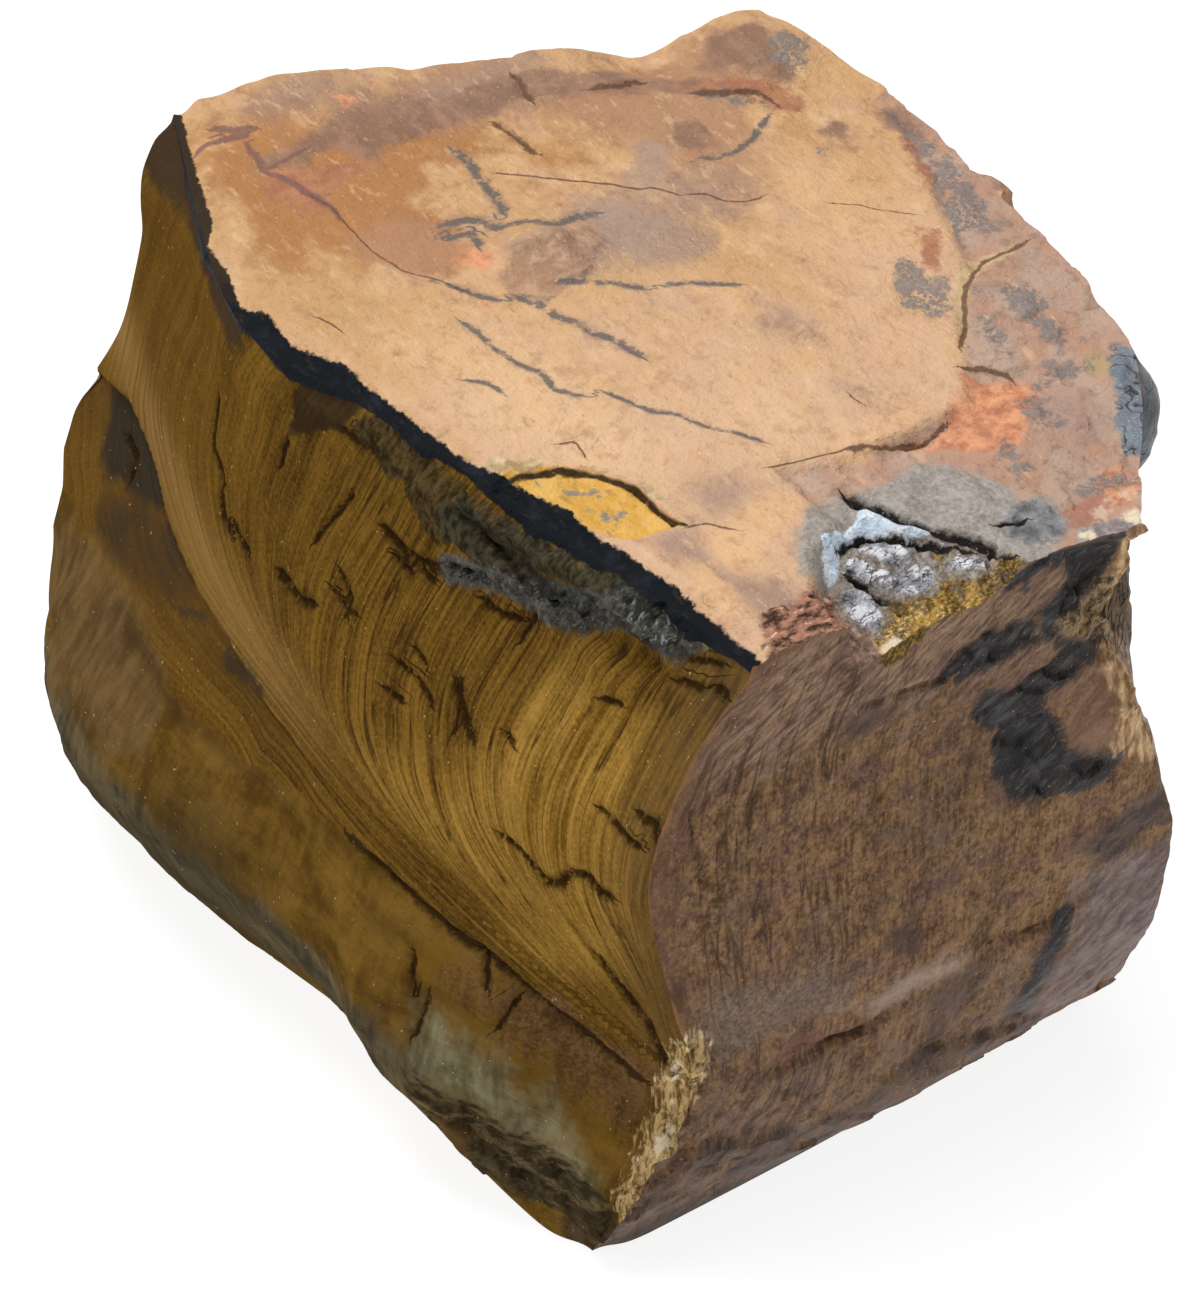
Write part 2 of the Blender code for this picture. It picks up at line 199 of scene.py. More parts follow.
TOP_CRACKS = (  # half width, line
    (0.16, ((-26.1, 4.5), (-23.9, 7.0), (-22.2, 8.9), (-19.9, 11.7), (-18.0, 13.5),
            (-15.5, 14.9), (-15.4, 16.0), (-12.7, 17.9))),
    (0.16, ((-12.3, 18.9), (-11.7, 20.3), (-9.3, 21.2), (-8.1, 22.8), (-7.6, 24.3))),
    (0.10, ((-3.3, 29.9), (-1.3, 32.2), (0.9, 34.4), (2.9, 36.0))),
    (0.14, ((14.6, -14.0), (15.1, -12.6), (17.5, -13.0))),
    (0.12, ((24.1, 12.9), (25.7, 13.1))),
    (0.14, ((31.9, -10.8), (32.0, -9.2), (34.4, -7.5))),
    (0.15, ((-14.6, -23.4), (-13.3, -22.8), (-11.7, -22.6))),
    (0.12, ((-33.2, -13.6), (-30.6, -12.7), (-27.3, -12.9), (-24.2, -13.0), (-21.9, -13.0),
            (-17.8, -12.2), (-13.9, -9.9), (-10.5, -8.5))),
    (0.22, ((26.0, 24.8), (26.7, 26.3), (28.1, 27.9), (29.4, 28.3))),
    (0.22, ((30.8, 8.6), (31.3, 10.6), (32.2, 13.3), (32.8, 15.6), (32.2, 18.2))),
    (0.55, ((-33.5, 8.9), (-31.7, 9.7), (-29.7, 9.7), (-27.1, 9.8))),
    (0.50, ((-39.9, 15.1), (-37.9, 14.9), (-35.3, 14.3))),
    (0.28, ((12.9, 42.3), (12.9, 40.0), (12.7, 37.5), (14.6, 34.5), (16.8, 31.9), (21.0, 28.8),
            (23.3, 26.6))),
    (0.30, ((-33.8, 20.7), (-32.6, 23.7), (-32.6, 26.8))),
    (0.25, ((-27.4, 29.0), (-25.3, 31.4), (-24.0, 34.3), (-22.1, 35.6), (-20.7, 35.6))),
    (0.10, ((28.4, 0.6), (29.2, 3.5), (29.8, 6.5), (30.8, 9.3))),
)
TOP_VEINS = (  # half width, line
    (0.50, ((-31.4, 2.6), (-29.7, 2.8), (-27.4, 2.5), (-24.9, 2.2), (-22.9, 2.2), (-19.6, 1.3))),
    (0.55, ((-20.7, -5.7), (-21.4, -3.9), (-20.6, -2.2), (-19.4, -1.2), (-17.4, -0.7))),
    (0.45, ((-19.1, -5.3), (-18.8, -3.3), (-16.3, -3.9))),
    (0.65, ((-17.4, -0.7), (-15.8, 1.9), (-14.2, 3.3), (-14.8, 6.0), (-14.4, 8.4))),
    (0.42, ((-6.9, -4.9), (-4.8, -3.9), (-2.6, -3.6), (-0.5, -2.6), (1.7, -2.3), (3.7, -1.2),
            (7.6, -0.3))),
    (0.32, ((-6.4, -11.6), (-4.5, -11.3), (-1.9, -11.5), (-0.4, -11.3), (2.5, -10.8),
            (4.5, -9.8), (7.7, -10.1), (9.6, -8.5))),
    (0.24, ((10.8, -6.2), (13.4, -5.3), (15.7, -4.5), (17.6, -2.4), (19.9, -1.6),
            (22.3, 0.2), (24.8, 1.9))),
    (0.32, ((-14.7, -11.1), (-12.6, -9.5), (-9.3, -8.1), (-7.8, -6.7))),
    (0.30, ((-0.2, 7.8), (0.8, 10.1), (2.4, 11.4), (3.8, 13.4))),
    (0.35, ((-6.0, -0.8), (-5.2, 1.0), (-3.5, 3.4), (-1.2, 5.5))),
    (0.25, ((2.0, -16.4), (3.4, -14.8), (5.2, -14.6))),
    (0.35, ((-16.8, 23.1), (-16.0, 27.0), (-17.0, 29.8), (-19.3, 33.1))),
)
RED_VEINS = (
    (0.45, ((-44.0, -14.6), (-42.1, -14.9), (-38.9, -15.6), (-36.1, -14.2), (-33.2, -13.6),
            (-30.6, -12.7), (-28.6, -12.9))),
    (0.30, ((-38.9, -15.6), (-39.6, -12.6), (-40.0, -10.2))),
    (0.60, ((-48.3, -16.1), (-47.2, -14.6), (-46.2, -13.0))),
    (0.50, ((-46.8, -18.8), (-46.2, -16.2), (-45.7, -14.0))),
)
UMBER_PATCHES = (
    ((-43.5, -3.3), (-44.7, 1.6), (-40.5, 7.6), (-40.2, 16.0), (-38.5, 20.0), (-34.2, 27.2),
     (-28.4, 31.6), (-26.6, 30.4), (-30.6, 24.9), (-34.5, 17.4), (-35.3, 12.9), (-35.4, 6.9),
     (-36.1, -1.1), (-34.2, -4.7), (-38.5, -8.1), (-38.5, -12.8), (-39.3, -15.7),
     (-41.3, -15.4), (-41.6, -9.9)),
    ((-16.5, 44.9), (-13.5, 46.8), (-9.5, 46.5), (-8.6, 43.9), (-11.3, 42.6)),
    ((-33.7, 35.1), (-33.4, 40.1), (-29.8, 41.4), (-26.2, 39.9), (-23.0, 40.0), (-24.7, 36.1),
     (-29.8, 31.9)),
    ((-16.4, 38.7), (-14.8, 40.0), (-11.6, 39.3), (-10.9, 37.6), (-13.3, 37.3)),
    ((-23.2, 24.0), (-23.2, 26.2), (-21.2, 27.4), (-18.9, 26.0), (-18.4, 24.0), (-19.8, 22.4)),
)
RUST_PATCHES = (
    ((-39.0, -15.1), (-36.6, -9.2), (-33.9, -5.8), (-32.6, -9.8), (-31.7, -13.0),
     (-29.0, -13.7), (-31.2, -15.9), (-36.3, -17.4)),
    ((-29.1, 28.4), (-26.1, 34.5), (-23.7, 37.3), (-21.2, 39.2), (-18.7, 36.7), (-19.9, 34.7),
     (-23.2, 34.4), (-26.6, 29.7)),
    ((-9.2, 43.3), (-8.7, 44.6), (-0.3, 41.5), (0.2, 39.7)),
    ((5.8, 34.6), (6.5, 36.0), (11.3, 33.2), (12.5, 31.3), (10.3, 31.5)),
)
FLAME_PATCHES = (
    ((26.9, 24.5), (29.2, 27.0), (30.7, 29.5), (33.2, 28.8), (37.6, 23.0), (37.8, 19.3),
     (34.9, 16.8), (33.0, 14.5), (32.6, 12.5), (32.5, 16.5), (31.1, 19.6), (29.1, 22.2)),
    ((45.0, 27.0), (46.5, 29.5), (49.5, 28.0), (50.5, 24.0), (48.5, 23.5)),
    ((-37.1, 1.7), (-38.8, 3.9), (-38.7, 5.3), (-37.0, 5.0), (-36.0, 2.9)),
    ((-17.6, -6.2), (-15.7, -4.1), (-12.4, -4.0), (-12.9, -6.1), (-15.4, -7.1)),
    ((-47.9, -3.6), (-46.0, -1.3), (-44.0, -1.0), (-45.1, -3.0)),
    ((-8.9, -8.3), (-8.1, -7.1), (-7.2, -8.0), (-8.0, -8.7)),
)
SLATE_PATCHES = (
    ((17.1, 36.1), (18.6, 38.7), (21.7, 38.2), (23.9, 37.1), (26.9, 37.3), (28.6, 37.8),
     (27.8, 35.3), (25.7, 34.5), (23.6, 34.9), (21.6, 33.9), (19.4, 34.4)),
    ((16.1, 33.3), (16.3, 34.9), (18.5, 33.2), (17.9, 32.4)),
    ((20.6, 31.0), (23.2, 31.5), (25.0, 30.1), (23.3, 29.6)),
    ((29.2, 31.9), (30.8, 36.7), (32.2, 35.7), (31.7, 31.2), (31.6, 29.5)),
    ((32.0, 26.7), (33.5, 29.2), (37.6, 27.8), (36.5, 25.7), (34.4, 25.5)),
    ((45.9, 23.2), (45.2, 25.5), (46.2, 27.2), (46.3, 29.4), (48.4, 28.3), (47.9, 25.8),
     (47.8, 23.5)),
    ((46.9, 15.9), (46.4, 18.1), (47.7, 19.5), (50.1, 19.3), (51.5, 17.1), (49.9, 14.9)),
    ((-15.0, 45.3), (-6.0, 45.2), (-1.7, 43.3), (-5.0, 43.1), (-10.0, 43.6)),
    ((-0.9, 42.0), (2.9, 41.7), (5.1, 43.3), (7.3, 40.3), (8.2, 37.8), (4.7, 38.5)),
    ((36.5, 21.4), (38.2, 21.3), (41.9, 22.1), (42.2, 19.5), (38.9, 19.7)),
    ((8.7, 28.7), (9.2, 30.8), (12.2, 30.5), (14.1, 32.1), (17.7, 29.2), (18.3, 26.6),
     (16.0, 25.3)),
    ((-26.7, 30.1), (-23.1, 34.3), (-20.9, 35.0), (-22.1, 33.0), (-25.8, 29.8)),
    ((-12.0, 34.3), (-11.3, 35.4), (-10.0, 34.4), (-10.5, 33.5)),
    ((-5.7, 45.6), (-0.5, 44.3), (5.1, 43.3), (10.1, 41.4), (8.4, 39.9), (7.1, 37.3),
     (4.9, 39.6), (-1.4, 41.1)),
    ((-29.5, 40.0), (-30.1, 43.0), (-27.0, 44.1), (-24.6, 41.8), (-24.0, 39.4), (-26.6, 39.3)),
)
BLUSH_PATCHES = (
    ((-24.5, -14.6), (-25.1, -9.6), (-21.8, -6.2), (-16.9, -4.5), (-14.8, -7.9), (-17.0, -12.1),
     (-20.3, -14.2)),
    ((-22.5, 24.5), (-21.1, 27.6), (-16.2, 24.7), (-17.3, 22.2)),
)
HAZE_PATCHES = (
    ((-17.2, 9.3), (-13.1, 13.3), (-4.7, 15.0), (-2.0, 11.9), (-4.3, 7.5), (-9.4, 6.1)),
    ((-22.9, 19.8), (-20.0, 21.4), (-14.3, 16.6), (-13.9, 13.9), (-19.3, 15.6)),
)
LUMP_PATCH = ((-10.3, -5.3), (-11.8, -2.7), (-11.6, 1.8), (-13.1, 7.3), (-9.6, 6.7), (-5.9, 1.9),
              (-5.0, -2.9), (-7.1, -5.7))
TAN_LIP = ((12.2, 34.5), (11.9, 38.1), (12.6, 41.8), (14.1, 39.6), (14.7, 34.8), (18.5, 31.1),
           (22.6, 28.1), (22.6, 26.6), (16.7, 30.9))
MAUVE_CRUST = ((32.4, 30.7), (34.6, 33.8), (39.5, 32.3), (41.8, 29.4), (39.4, 26.4), (35.4, 27.1))
TAN_CRUST = ((29.8, 36.9), (31.6, 38.5), (33.9, 37.3), (33.4, 35.3), (31.5, 35.3))
KNOB_FACET = ((30.5, 39.7), (34.0, 41.5), (40.0, 38.0), (46.0, 32.0), (44.2, 30.2), (40.7, 32.4),
              (37.5, 34.6), (33.6, 36.9))
CORNER_CREAM = ((49.0, 21.5), (48.9, 24.8), (48.8, 27.5), (50.9, 27.5), (53.0, 25.5), (52.6, 22.8),
                (51.2, 21.4))
CORNER_RED = ((48.0, 19.9), (47.5, 22.0), (47.8, 25.0), (49.6, 24.6), (51.1, 22.1), (51.0, 19.2))
CORNER_GREY = ((51.3, 18.5), (51.4, 21.0), (51.5, 23.5), (52.2, 25.8), (54.7, 26.0), (54.5, 18.2))
BACK_DIP = (-38, 30)
BACK_DIP_DEPTH = 2.6
GLOSS_RING = ((-7.3, 10.7), (-8.5, 12.7), (-7.4, 15.6), (-5.0, 17.6), (-2.8, 16.3), (-2.0, 13.2),
              (-3.1, 10.3), (-4.9, 9.7))
RIM_UPPER = ((-60, -15.0), (-52.9, -17.4), (-47.9, -19.4), (-40.6, -21.9), (-35.0, -23.8),
             (-32.7, -25.9), (-27.7, -26.2), (-21.8, -28.1), (-18.3, -27.2), (-13.2, -27.4),
             (-9.5, -26.2), (-6.8, -25.0), (-2.6, -24.7), (1.7, -23.9), (6.3, -23.3),
             (10.5, -22.6), (14.6, -21.2), (18.3, -19.7), (22.9, -18.1), (28.8, -17.7),
             (33.8, -17.2), (38.6, -16.4), (41.8, -16.4), (46.0, -15.9), (49.4, -15.6))

# Golden face, in elevation (x, z)
RIM_FOOT = ((-60, 79.0), (-49.2, 78.6), (-42.8, 78.2), (-36.8, 78.3), (-33.1, 77.4),
            (-25.5, 78.3), (-20.5, 78.2), (-16.0, 78.7), (-9.8, 77.9), (-5.1, 78.5),
            (-1.3, 79.0), (3.3, 78.6), (7.3, 78.0), (9.1, 78.4), (13.9, 78.3), (17.3, 77.2),
            (21.4, 76.6), (27.2, 77.3), (32.6, 78.3), (36.9, 78.2), (42.6, 77.8), (50, 78.2))
DARK_LIP = ((-8.8, 77.8), (-6.9, 79.1), (-4.3, 79.6), (-0.5, 79.6), (-2.0, 76.9), (-5.1, 74.7),
            (-10.7, 70.3), (-8.9, 74.4))
RUBBLE_LIP = ((-1.5, 77.0), (-0.4, 78.8), (1.3, 79.4), (4.7, 79.1), (7.3, 78.5), (9.9, 77.8),
              (13.8, 77.6), (16.0, 75.6), (12.9, 71.1), (10.1, 70.0), (7.5, 73.4), (6.5, 75.1),
              (3.8, 74.2), (1.8, 75.4))
GREY_LIP = ((14.1, 77.2), (17.2, 76.6), (21.4, 76.9), (24.9, 77.2), (29.2, 78.2), (32.2, 78.8),
            (34.5, 77.9), (33.2, 76.4), (28.7, 74.6), (25.6, 74.4), (21.4, 72.3), (16.5, 70.8),
            (12.9, 71.5), (11.0, 74.0))
ROUGH_ZONE = ((12.5, 67.6), (17.2, 69.3), (20.8, 70.5), (26.2, 70.8), (30.1, 71.7), (34.5, 74.6),
              (38.3, 74.8), (42.3, 76.2), (43.8, 77.9), (41.0, 79.2), (37.1, 79.0), (34.3, 78.6),
              (33.2, 76.4), (28.6, 73.6), (23.6, 71.9), (17.0, 70.4), (12.4, 68.6))
SPECKLED = ((33.5, 77.4), (36.9, 78.4), (40.9, 78.5), (42.8, 77.4), (39.9, 75.6), (36.7, 75.9))
OLIVE_FRINGE = ((26.9, 77.1), (29.2, 78.4), (34.2, 79.2), (39.4, 79.6), (46.0, 79.6),
                (49.3, 79.8), (48.7, 78.6), (45.7, 77.5), (43.8, 77.7), (40.6, 79.3),
                (37.1, 79.0), (35.1, 78.6), (32.3, 78.5))
BLUE_FACET = ((31.0, 79.3), (33.1, 81.0), (38.5, 81.0), (38.5, 79.6), (37.4, 79.1), (34.9, 79.0),
              (32.7, 79.0))
BROWN_RIM = ((-60, 75.0), (-51.8, 75.6), (-46.0, 76.2), (-41.8, 77.0), (-34.8, 76.9),
             (-27.5, 75.9), (-21.0, 75.6), (-17.5, 76.9), (-20.0, 79.5), (-34.8, 80.5),
             (-60, 82))
# Painted shade in the recess under the fold: these three outlines are painted dark and dark brown.
FOLD_RECESS_SHADE = ((-50.7, 50.9), (-46.7, 52.4), (-40.9, 50.7), (-34.8, 48.1), (-32.4, 46.9),
              (-34.8, 45.8), (-39.3, 44.9), (-42.9, 44.9), (-44.8, 44.1), (-47.6, 45.8),
              (-48.8, 48.5))
FOLD_RECESS_BROWN = ((-44.8, 44.1), (-40.1, 44.4), (-34.8, 45.8), (-32.0, 47.0), (-28.6, 46.3),
               (-23.1, 45.6), (-21.6, 44.7), (-24.0, 42.8), (-27.0, 41.0), (-31.0, 40.1),
               (-35.6, 39.1), (-39.5, 38.8), (-42.6, 39.8), (-44.3, 42.2))
FOLD_RECESS_SPOTS = (
    ((-15.6, 41.3), (-12.4, 44.0), (-8.6, 45.0), (-6.0, 43.9), (-8.0, 41.9), (-11.6, 41.1)),
    ((-25.5, 41.3), (-22.9, 43.0), (-20.1, 43.8), (-20.2, 43.0), (-23.8, 41.2)),
    ((-30.3, 36.4), (-27.7, 36.4), (-24.9, 35.6), (-22.3, 34.4), (-23.4, 33.3), (-26.2, 33.7),
     (-28.8, 34.4)),
)
LILAC_TOE = ((-60, 30), (-48.5, 37.0), (-41.4, 38.5), (-31.3, 38.9), (-26.2, 37.3),
             (-21.5, 33.3), (-20.1, 27.6), (-24.8, 26.0), (-33.4, 26.8), (-41.4, 27.2), (-60, 26))
GREEN_TOE = ((25.1, 20.4), (25.8, 25.1), (27.2, 26.5), (29.5, 25.2), (31.6, 24.3), (34.1, 21.5),
             (35.9, 18.9), (37.5, 16.0), (39.9, 13.6), (42.5, 10.5), (44.0, 8.8), (41.0, 8.2),
             (38.1, 10.9), (34.6, 13.9), (30.9, 15.6), (27.9, 17.5))
TIP_FACETS = ((28.3, 12.6), (30.2, 12.6), (31.5, 11.4), (31.5, 7.0), (28.8, 6.5))
TIP_DARK = (
    ((30.8, 9.4), (32.4, 11.9), (34.2, 9.4), (38.4, 7.8), (36.8, 4.4), (30.8, 2.3)),
    ((39.3, 6.4), (42.9, 7.2), (45.4, 7.6), (48.6, 6.6), (46.5, 0), (39.2, 0)),
)
OLIVE_EDGE = ((-60, 26.5), (-36.3, 25.9), (-28.1, 24.6), (-20.8, 23.6), (-14.3, 22.7),
              (-6.8, 22.1), (2.8, 22.5), (9.4, 21.8), (20.0, 21.4), (26.3, 19.2), (27.3, 15.3),
              (20, 10), (-60, 8))
SCALLOPS = ((26.1, 17.7), (30.4, 16.1), (34.6, 14.6), (38.0, 12.9), (41.3, 11.2), (44.7, 9.8),
            (44.2, 6.1), (39.3, 3.9), (35.8, 4.6), (32.6, 4.7), (24.0, 9.8))
RED_TOE = ((37.4, 32.4), (40.7, 28.3), (44.2, 27.2), (45.6, 25.6), (45.1, 20.6), (43.5, 17.7),
           (39.8, 18.7), (36.5, 21.5), (33.3, 24.4), (29.1, 27.5), (25.2, 30.3), (28.8, 33.4),
           (33.7, 31.9))
GOLD_TOE = ((22.6, 31.2), (27.0, 27.6), (30.6, 24.5), (35.5, 20.1), (38.7, 15.7), (41.8, 13.3),
            (43.8, 16.7), (41.3, 20.6), (37.7, 23.0), (34.5, 27.4), (30.6, 30.7), (25.3, 33.9))
PALE_FRAY = ((47.1, 31.6), (52, 32.9), (52, 8), (45.4, 8.2), (45.5, 11.5), (45.6, 15.0),
             (45.3, 18.3), (45.3, 21.3), (45.7, 24.9), (46.2, 28.0))
FOLD_EDGE = ((-56, 50.8), (-50.4, 51.4), (-45.5, 52.0), (-41.2, 51.1), (-37.6, 49.8),
             (-32.4, 46.9), (-27.4, 45.9), (-21.2, 45.1), (-14.3, 44.6), (-7.7, 43.0),
             (-0.6, 42.3), (7.7, 41.1), (16.4, 39.4))
LOBE_EDGE = ((-30.0, 36.0), (-24.9, 35.2), (-21.0, 34.1), (-18.0, 33.9), (-13.3, 34.1),
             (-8.4, 34.5), (-2.8, 35.8), (1.2, 36.3), (5.5, 37.1), (10.8, 37.5), (16.1, 36.9))
CREASE_CRACK = ((11.5, 37.6), (16.1, 36.9), (21.9, 36.0), (27.3, 34.9), (29.5, 34.7),
                (31.6, 33.9), (33.7, 32.6), (35.5, 31.3), (36.7, 29.8), (38.3, 28.4),
                (40.7, 26.9), (42.4, 26.1), (44.1, 24.6))
# Painted sheen: the line of the chatoyant light band across the golden face, where the fibres
# bend.
SHEEN_BAND = ((-51.0, 57.0), (-46.7, 55.2), (-40.8, 53.6), (-33.8, 51.4), (-25.5, 49.2), (-15.9, 47.9),
        (-6.5, 46.9), (2.9, 46.2), (13.3, 45.4), (23.6, 44.2), (33.4, 39.7), (41.2, 34.2),
        (46.0, 28.6))
GOLD_CHIPS = (  # half width, line
    (0.45, ((-9.1, 55.2), (-6.9, 54.9), (-4.8, 54.8), (-3.1, 55.4))),
    (0.35, ((4.3, 67.0), (6.6, 66.6), (9.0, 66.3), (11.0, 65.9))),
    (0.30, ((5.5, 65.4), (8.0, 65.2))),
    (0.40, ((-2.5, 76.2), (0.8, 76.0), (3.6, 75.6))),
    (0.25, ((-1.2, 58.1), (1.7, 57.6), (3.2, 57.9))),
    (0.22, ((10.5, 54.0), (12.8, 54.2))),
    (0.25, ((14.0, 57.0), (16.5, 56.1))),
    (0.50, ((18.9, 59.2), (20.6, 57.8), (22.9, 56.4))),
    (0.30, ((41.1, 59.3), (43.2, 59.2), (45.0, 58.9), (46.9, 59.2))),
    (0.42, ((36.2, 48.0), (37.9, 48.6), (39.5, 51.1), (41.3, 51.5), (42.6, 50.5), (43.7, 50.7))),
    (0.30, ((30.3, 49.9), (32.9, 49.7), (34.9, 48.7), (36.2, 47.8))),
    (0.30, ((43.7, 74.0), (46.1, 74.6))),
    (0.30, ((47.6, 75.2), (48.8, 75.0))),
    (0.32, ((-25.8, 65.1), (-25.9, 62.6), (-25.8, 59.8), (-23.3, 58.4), (-22.4, 57.2))),
    (0.40, ((-22.3, 55.9), (-21.3, 54.4), (-19.6, 53.7))),
    (0.35, ((-18.6, 54.8), (-17.1, 54.1), (-15.6, 53.9))),
    (0.25, ((-11.1, 69.7), (-12.0, 67.9), (-12.4, 65.8))),
    (0.25, ((-5.3, 61.2), (-4.4, 63.4), (-3.1, 65.6), (-1.7, 68.4))),
    (0.30, ((23.1, 30.6), (23.4, 28.4), (24.0, 27.0))),
    (0.30, ((25.6, 27.5), (25.5, 25.9), (25.4, 24.3), (25.0, 22.2))),
    (0.22, ((29.6, 34.3), (30.3, 33.2), (31.1, 31.5))),
    (0.20, ((33.5, 30.7), (33.2, 28.8), (32.4, 26.6))),
    (0.35, ((41.8, 41.0), (42.7, 39.1), (43.7, 37.5), (44.6, 35.5), (45.4, 33.6),
            (45.5, 30.8), (46.0, 27.7))),
    (0.45, ((3.6, 67.3), (6.1, 66.7), (8.4, 66.7), (11.7, 67.6), (15.0, 69.0), (17.0, 69.6),
            (21.1, 70.4), (24.3, 70.4), (28.2, 71.1))),
    (0.35, ((-0.4, 77.2), (0.7, 76.7), (1.7, 76.4))),
    (0.45, ((2.3, 76.2), (3.1, 75.7), (4.0, 75.6))),
    (0.40, ((3.8, 75.1), (4.7, 75.3), (5.7, 75.6))),
    (0.25, ((10.3, 57.0), (11.5, 56.9), (12.6, 57.1))),
    (0.25, ((12.2, 59.2), (14.1, 58.7))),
    (0.25, ((19.5, 59.1), (20.5, 56.6), (20.5, 55.0))),
    (0.40, ((45.8, 61.9), (47.9, 62.1), (48.9, 60.9))),
    (0.30, ((-0.5, 60.1), (1.9, 58.7), (1.9, 57.1))),
    (0.35, ((-44.8, 48.4), (-41.9, 47.9), (-41.4, 45.9))),
    (0.25, ((24.7, 70.2), (23.6, 66.4))),
    (0.25, ((43.7, 76.0), (46.8, 77.0))),
    (0.25, ((26.9, 58.7), (28.0, 58.6))),
    (0.22, ((35.7, 67.3), (38.2, 68.3))),
    (0.30, ((17.5, 67.3), (20.3, 67.2), (22.7, 68.0))),
)
TOE_LEDGES = (
    (((24.8, 16.8), (26.6, 15.1), (29.4, 14.8), (31.8, 13.4), (33.7, 12.4), (35.8, 11.6),
      (37.7, 10.7), (39.4, 9.3), (41.5, 7.6)), 0.9, 4),
    (((28.6, 12.9), (30.7, 12.5), (32.4, 10.6), (34.2, 9.0), (35.5, 7.4), (37.9, 7.3)), 1.1, 4),
    (((37.9, 7.6), (38.7, 6.6), (40.4, 5.5), (43.0, 6.0), (46.2, 7.1)), 0.8, 4),
    (((-24.9, 35.2), (-18.0, 33.9), (-8.4, 34.5), (-2.8, 35.8), (5.5, 37.1)), 0.5, 5),
    (((-41.0, 29.0), (-28.0, 27.0), (-16.0, 24.5), (-4.0, 23.0), (8.0, 22.5)), 0.35, 6),
)
# Where the sweeping fibres end and the toe begins
LOWER_EDGE = ((-60, 38.0), (-50, 38.2), (-44.0, 38.6), (-40.5, 38.3), (-35.6, 38.6), (-30.0, 39.0),
              (-27.0, 36.8), (-24.9, 35.2), (-21.0, 34.1), (-18.0, 33.9), (-13.3, 34.1),
              (-8.4, 34.6), (-2.8, 35.8), (3.7, 37.0), (10.8, 37.6), (16.1, 36.9), (21.9, 36.0),
              (27.3, 34.9), (31.6, 33.9), (35.5, 31.3), (38.3, 28.4), (42.4, 26.1), (46, 24.0),
              (52, 22))

# Brown face, in elevation (y, z)
PALE_FRAY_SIDE = ((-34, 31.6), (-22.3, 33.0), (-20.6, 33.6), (-18.6, 30.1), (-19.2, 27.3),
                  (-19.9, 23.4), (-21.4, 20.7), (-23.1, 18.6), (-24.6, 16.4), (-25.9, 13.1),
                  (-27.2, 9.2), (-34, 8))
BLUE_SLASH = ((14.4, 71.5), (11.6, 71.8), (8.8, 71.8), (6.3, 71.0), (4.6, 69.6), (3.3, 67.7),
              (5.2, 67.4), (7.9, 67.3), (10.7, 67.8), (12.9, 68.3), (15.1, 68.6))
BLUE_BAND = ((23.4, 79.4), (19.4, 79.8), (16.2, 79.6), (13.5, 79.4), (11.4, 78.4), (10.3, 77.0),
             (12.9, 75.6), (14.2, 77.7), (16.3, 77.5), (17.2, 75.2), (15.8, 73.2), (14.3, 71.9),
             (16.1, 70.6), (19.7, 71.3), (21.9, 73.2), (23.2, 75.4))
BLUE_PATCH = ((24.9, 63.7), (21.0, 65.6), (18.3, 67.0), (16.0, 71.3), (15.0, 70.4), (15.7, 68.3),
              (17.9, 65.9), (16.9, 64.4), (14.6, 64.2), (12.4, 63.3), (9.3, 64.9), (8.1, 61.9),
              (9.7, 58.9), (11.4, 58.3), (11.0, 56.0), (11.5, 52.8), (12.6, 51.1), (13.2, 49.1),
              (15.0, 47.6), (17.4, 47.4), (19.1, 47.7), (22.8, 46.0), (25.0, 46.4), (25.9, 48.7),
              (23.4, 50.5), (21.0, 51.5), (19.3, 53.4), (18.6, 56.7), (16.9, 58.6),
              (16.8, 59.9), (19.5, 61.4), (21.7, 62.3), (23.0, 62.8))
BLUE_EDGE = ((34.0, 42.4), (30.3, 42.4), (28.0, 42.1), (27.1, 40.4), (24.9, 38.7), (22.5, 37.9),
             (25.0, 34.3), (28.1, 34.0), (30.4, 35.1), (34.0, 35.6))
BLUE_STREAK = ((21.3, 29.0), (23.2, 28.6), (22.8, 26.7), (21.9, 23.5), (20.8, 19.4), (21.2, 13.4),
               (20.4, 12.1), (17.5, 14.5), (17.4, 18.0), (18.6, 22.2), (19.8, 26.1))
BRUISES = (
    ((-7.1, 66.3), (-6.3, 68.7), (-4.0, 69.8), (-0.4, 67.3), (-1.2, 65.1), (-4.4, 64.5)),
    ((-1.8, 42.8), (-0.7, 43.0), (-1.2, 41.2), (-2.5, 41.1)),
    ((0.2, 37.8), (2.5, 38.0), (4.5, 35.0), (4.0, 33.1), (1.7, 33.5), (0.4, 35.6)),
    ((11.2, 27.0), (13.3, 25.3), (12.6, 22.1), (10.5, 19.5), (7.9, 20.4), (5.7, 23.9),
     (7.1, 26.2)),
    ((5.9, 24.4), (6.8, 18.8), (5.8, 15.8), (1.9, 13.3), (4.6, 12.2), (9.0, 17.0), (8.0, 22.0)),
)
OLIVE_ROUGH = ((23.4, 74.0), (21.0, 72.9), (17.9, 73.0), (17.1, 70.8), (18.8, 67.4),
               (21.8, 65.0), (25.8, 63.0), (25.8, 70.3), (25.0, 74.0))
PEACH = ((21.7, 64.0), (24.7, 61.0), (25.2, 56.7), (25.1, 51.6), (21.0, 51.5), (18.7, 54.2),
         (19.7, 57.6), (17.4, 59.7), (20.0, 61.8))
GOLDEN_EDGE = ((24.3, 79.0), (23.6, 74.7), (25.6, 68.0), (24.6, 62.2), (25.6, 56.8), (26.5, 49.7),
               (29.5, 48.0), (36, 48), (36, 79))
GREEN_BROWN = ((-20.3, 37.4), (-16.3, 37.3), (-7.5, 37.2), (-2.6, 31.9), (-5.6, 28.9),
               (-11.3, 28.9), (-17.6, 27.3), (-20.5, 26.8), (-20.1, 33.1))
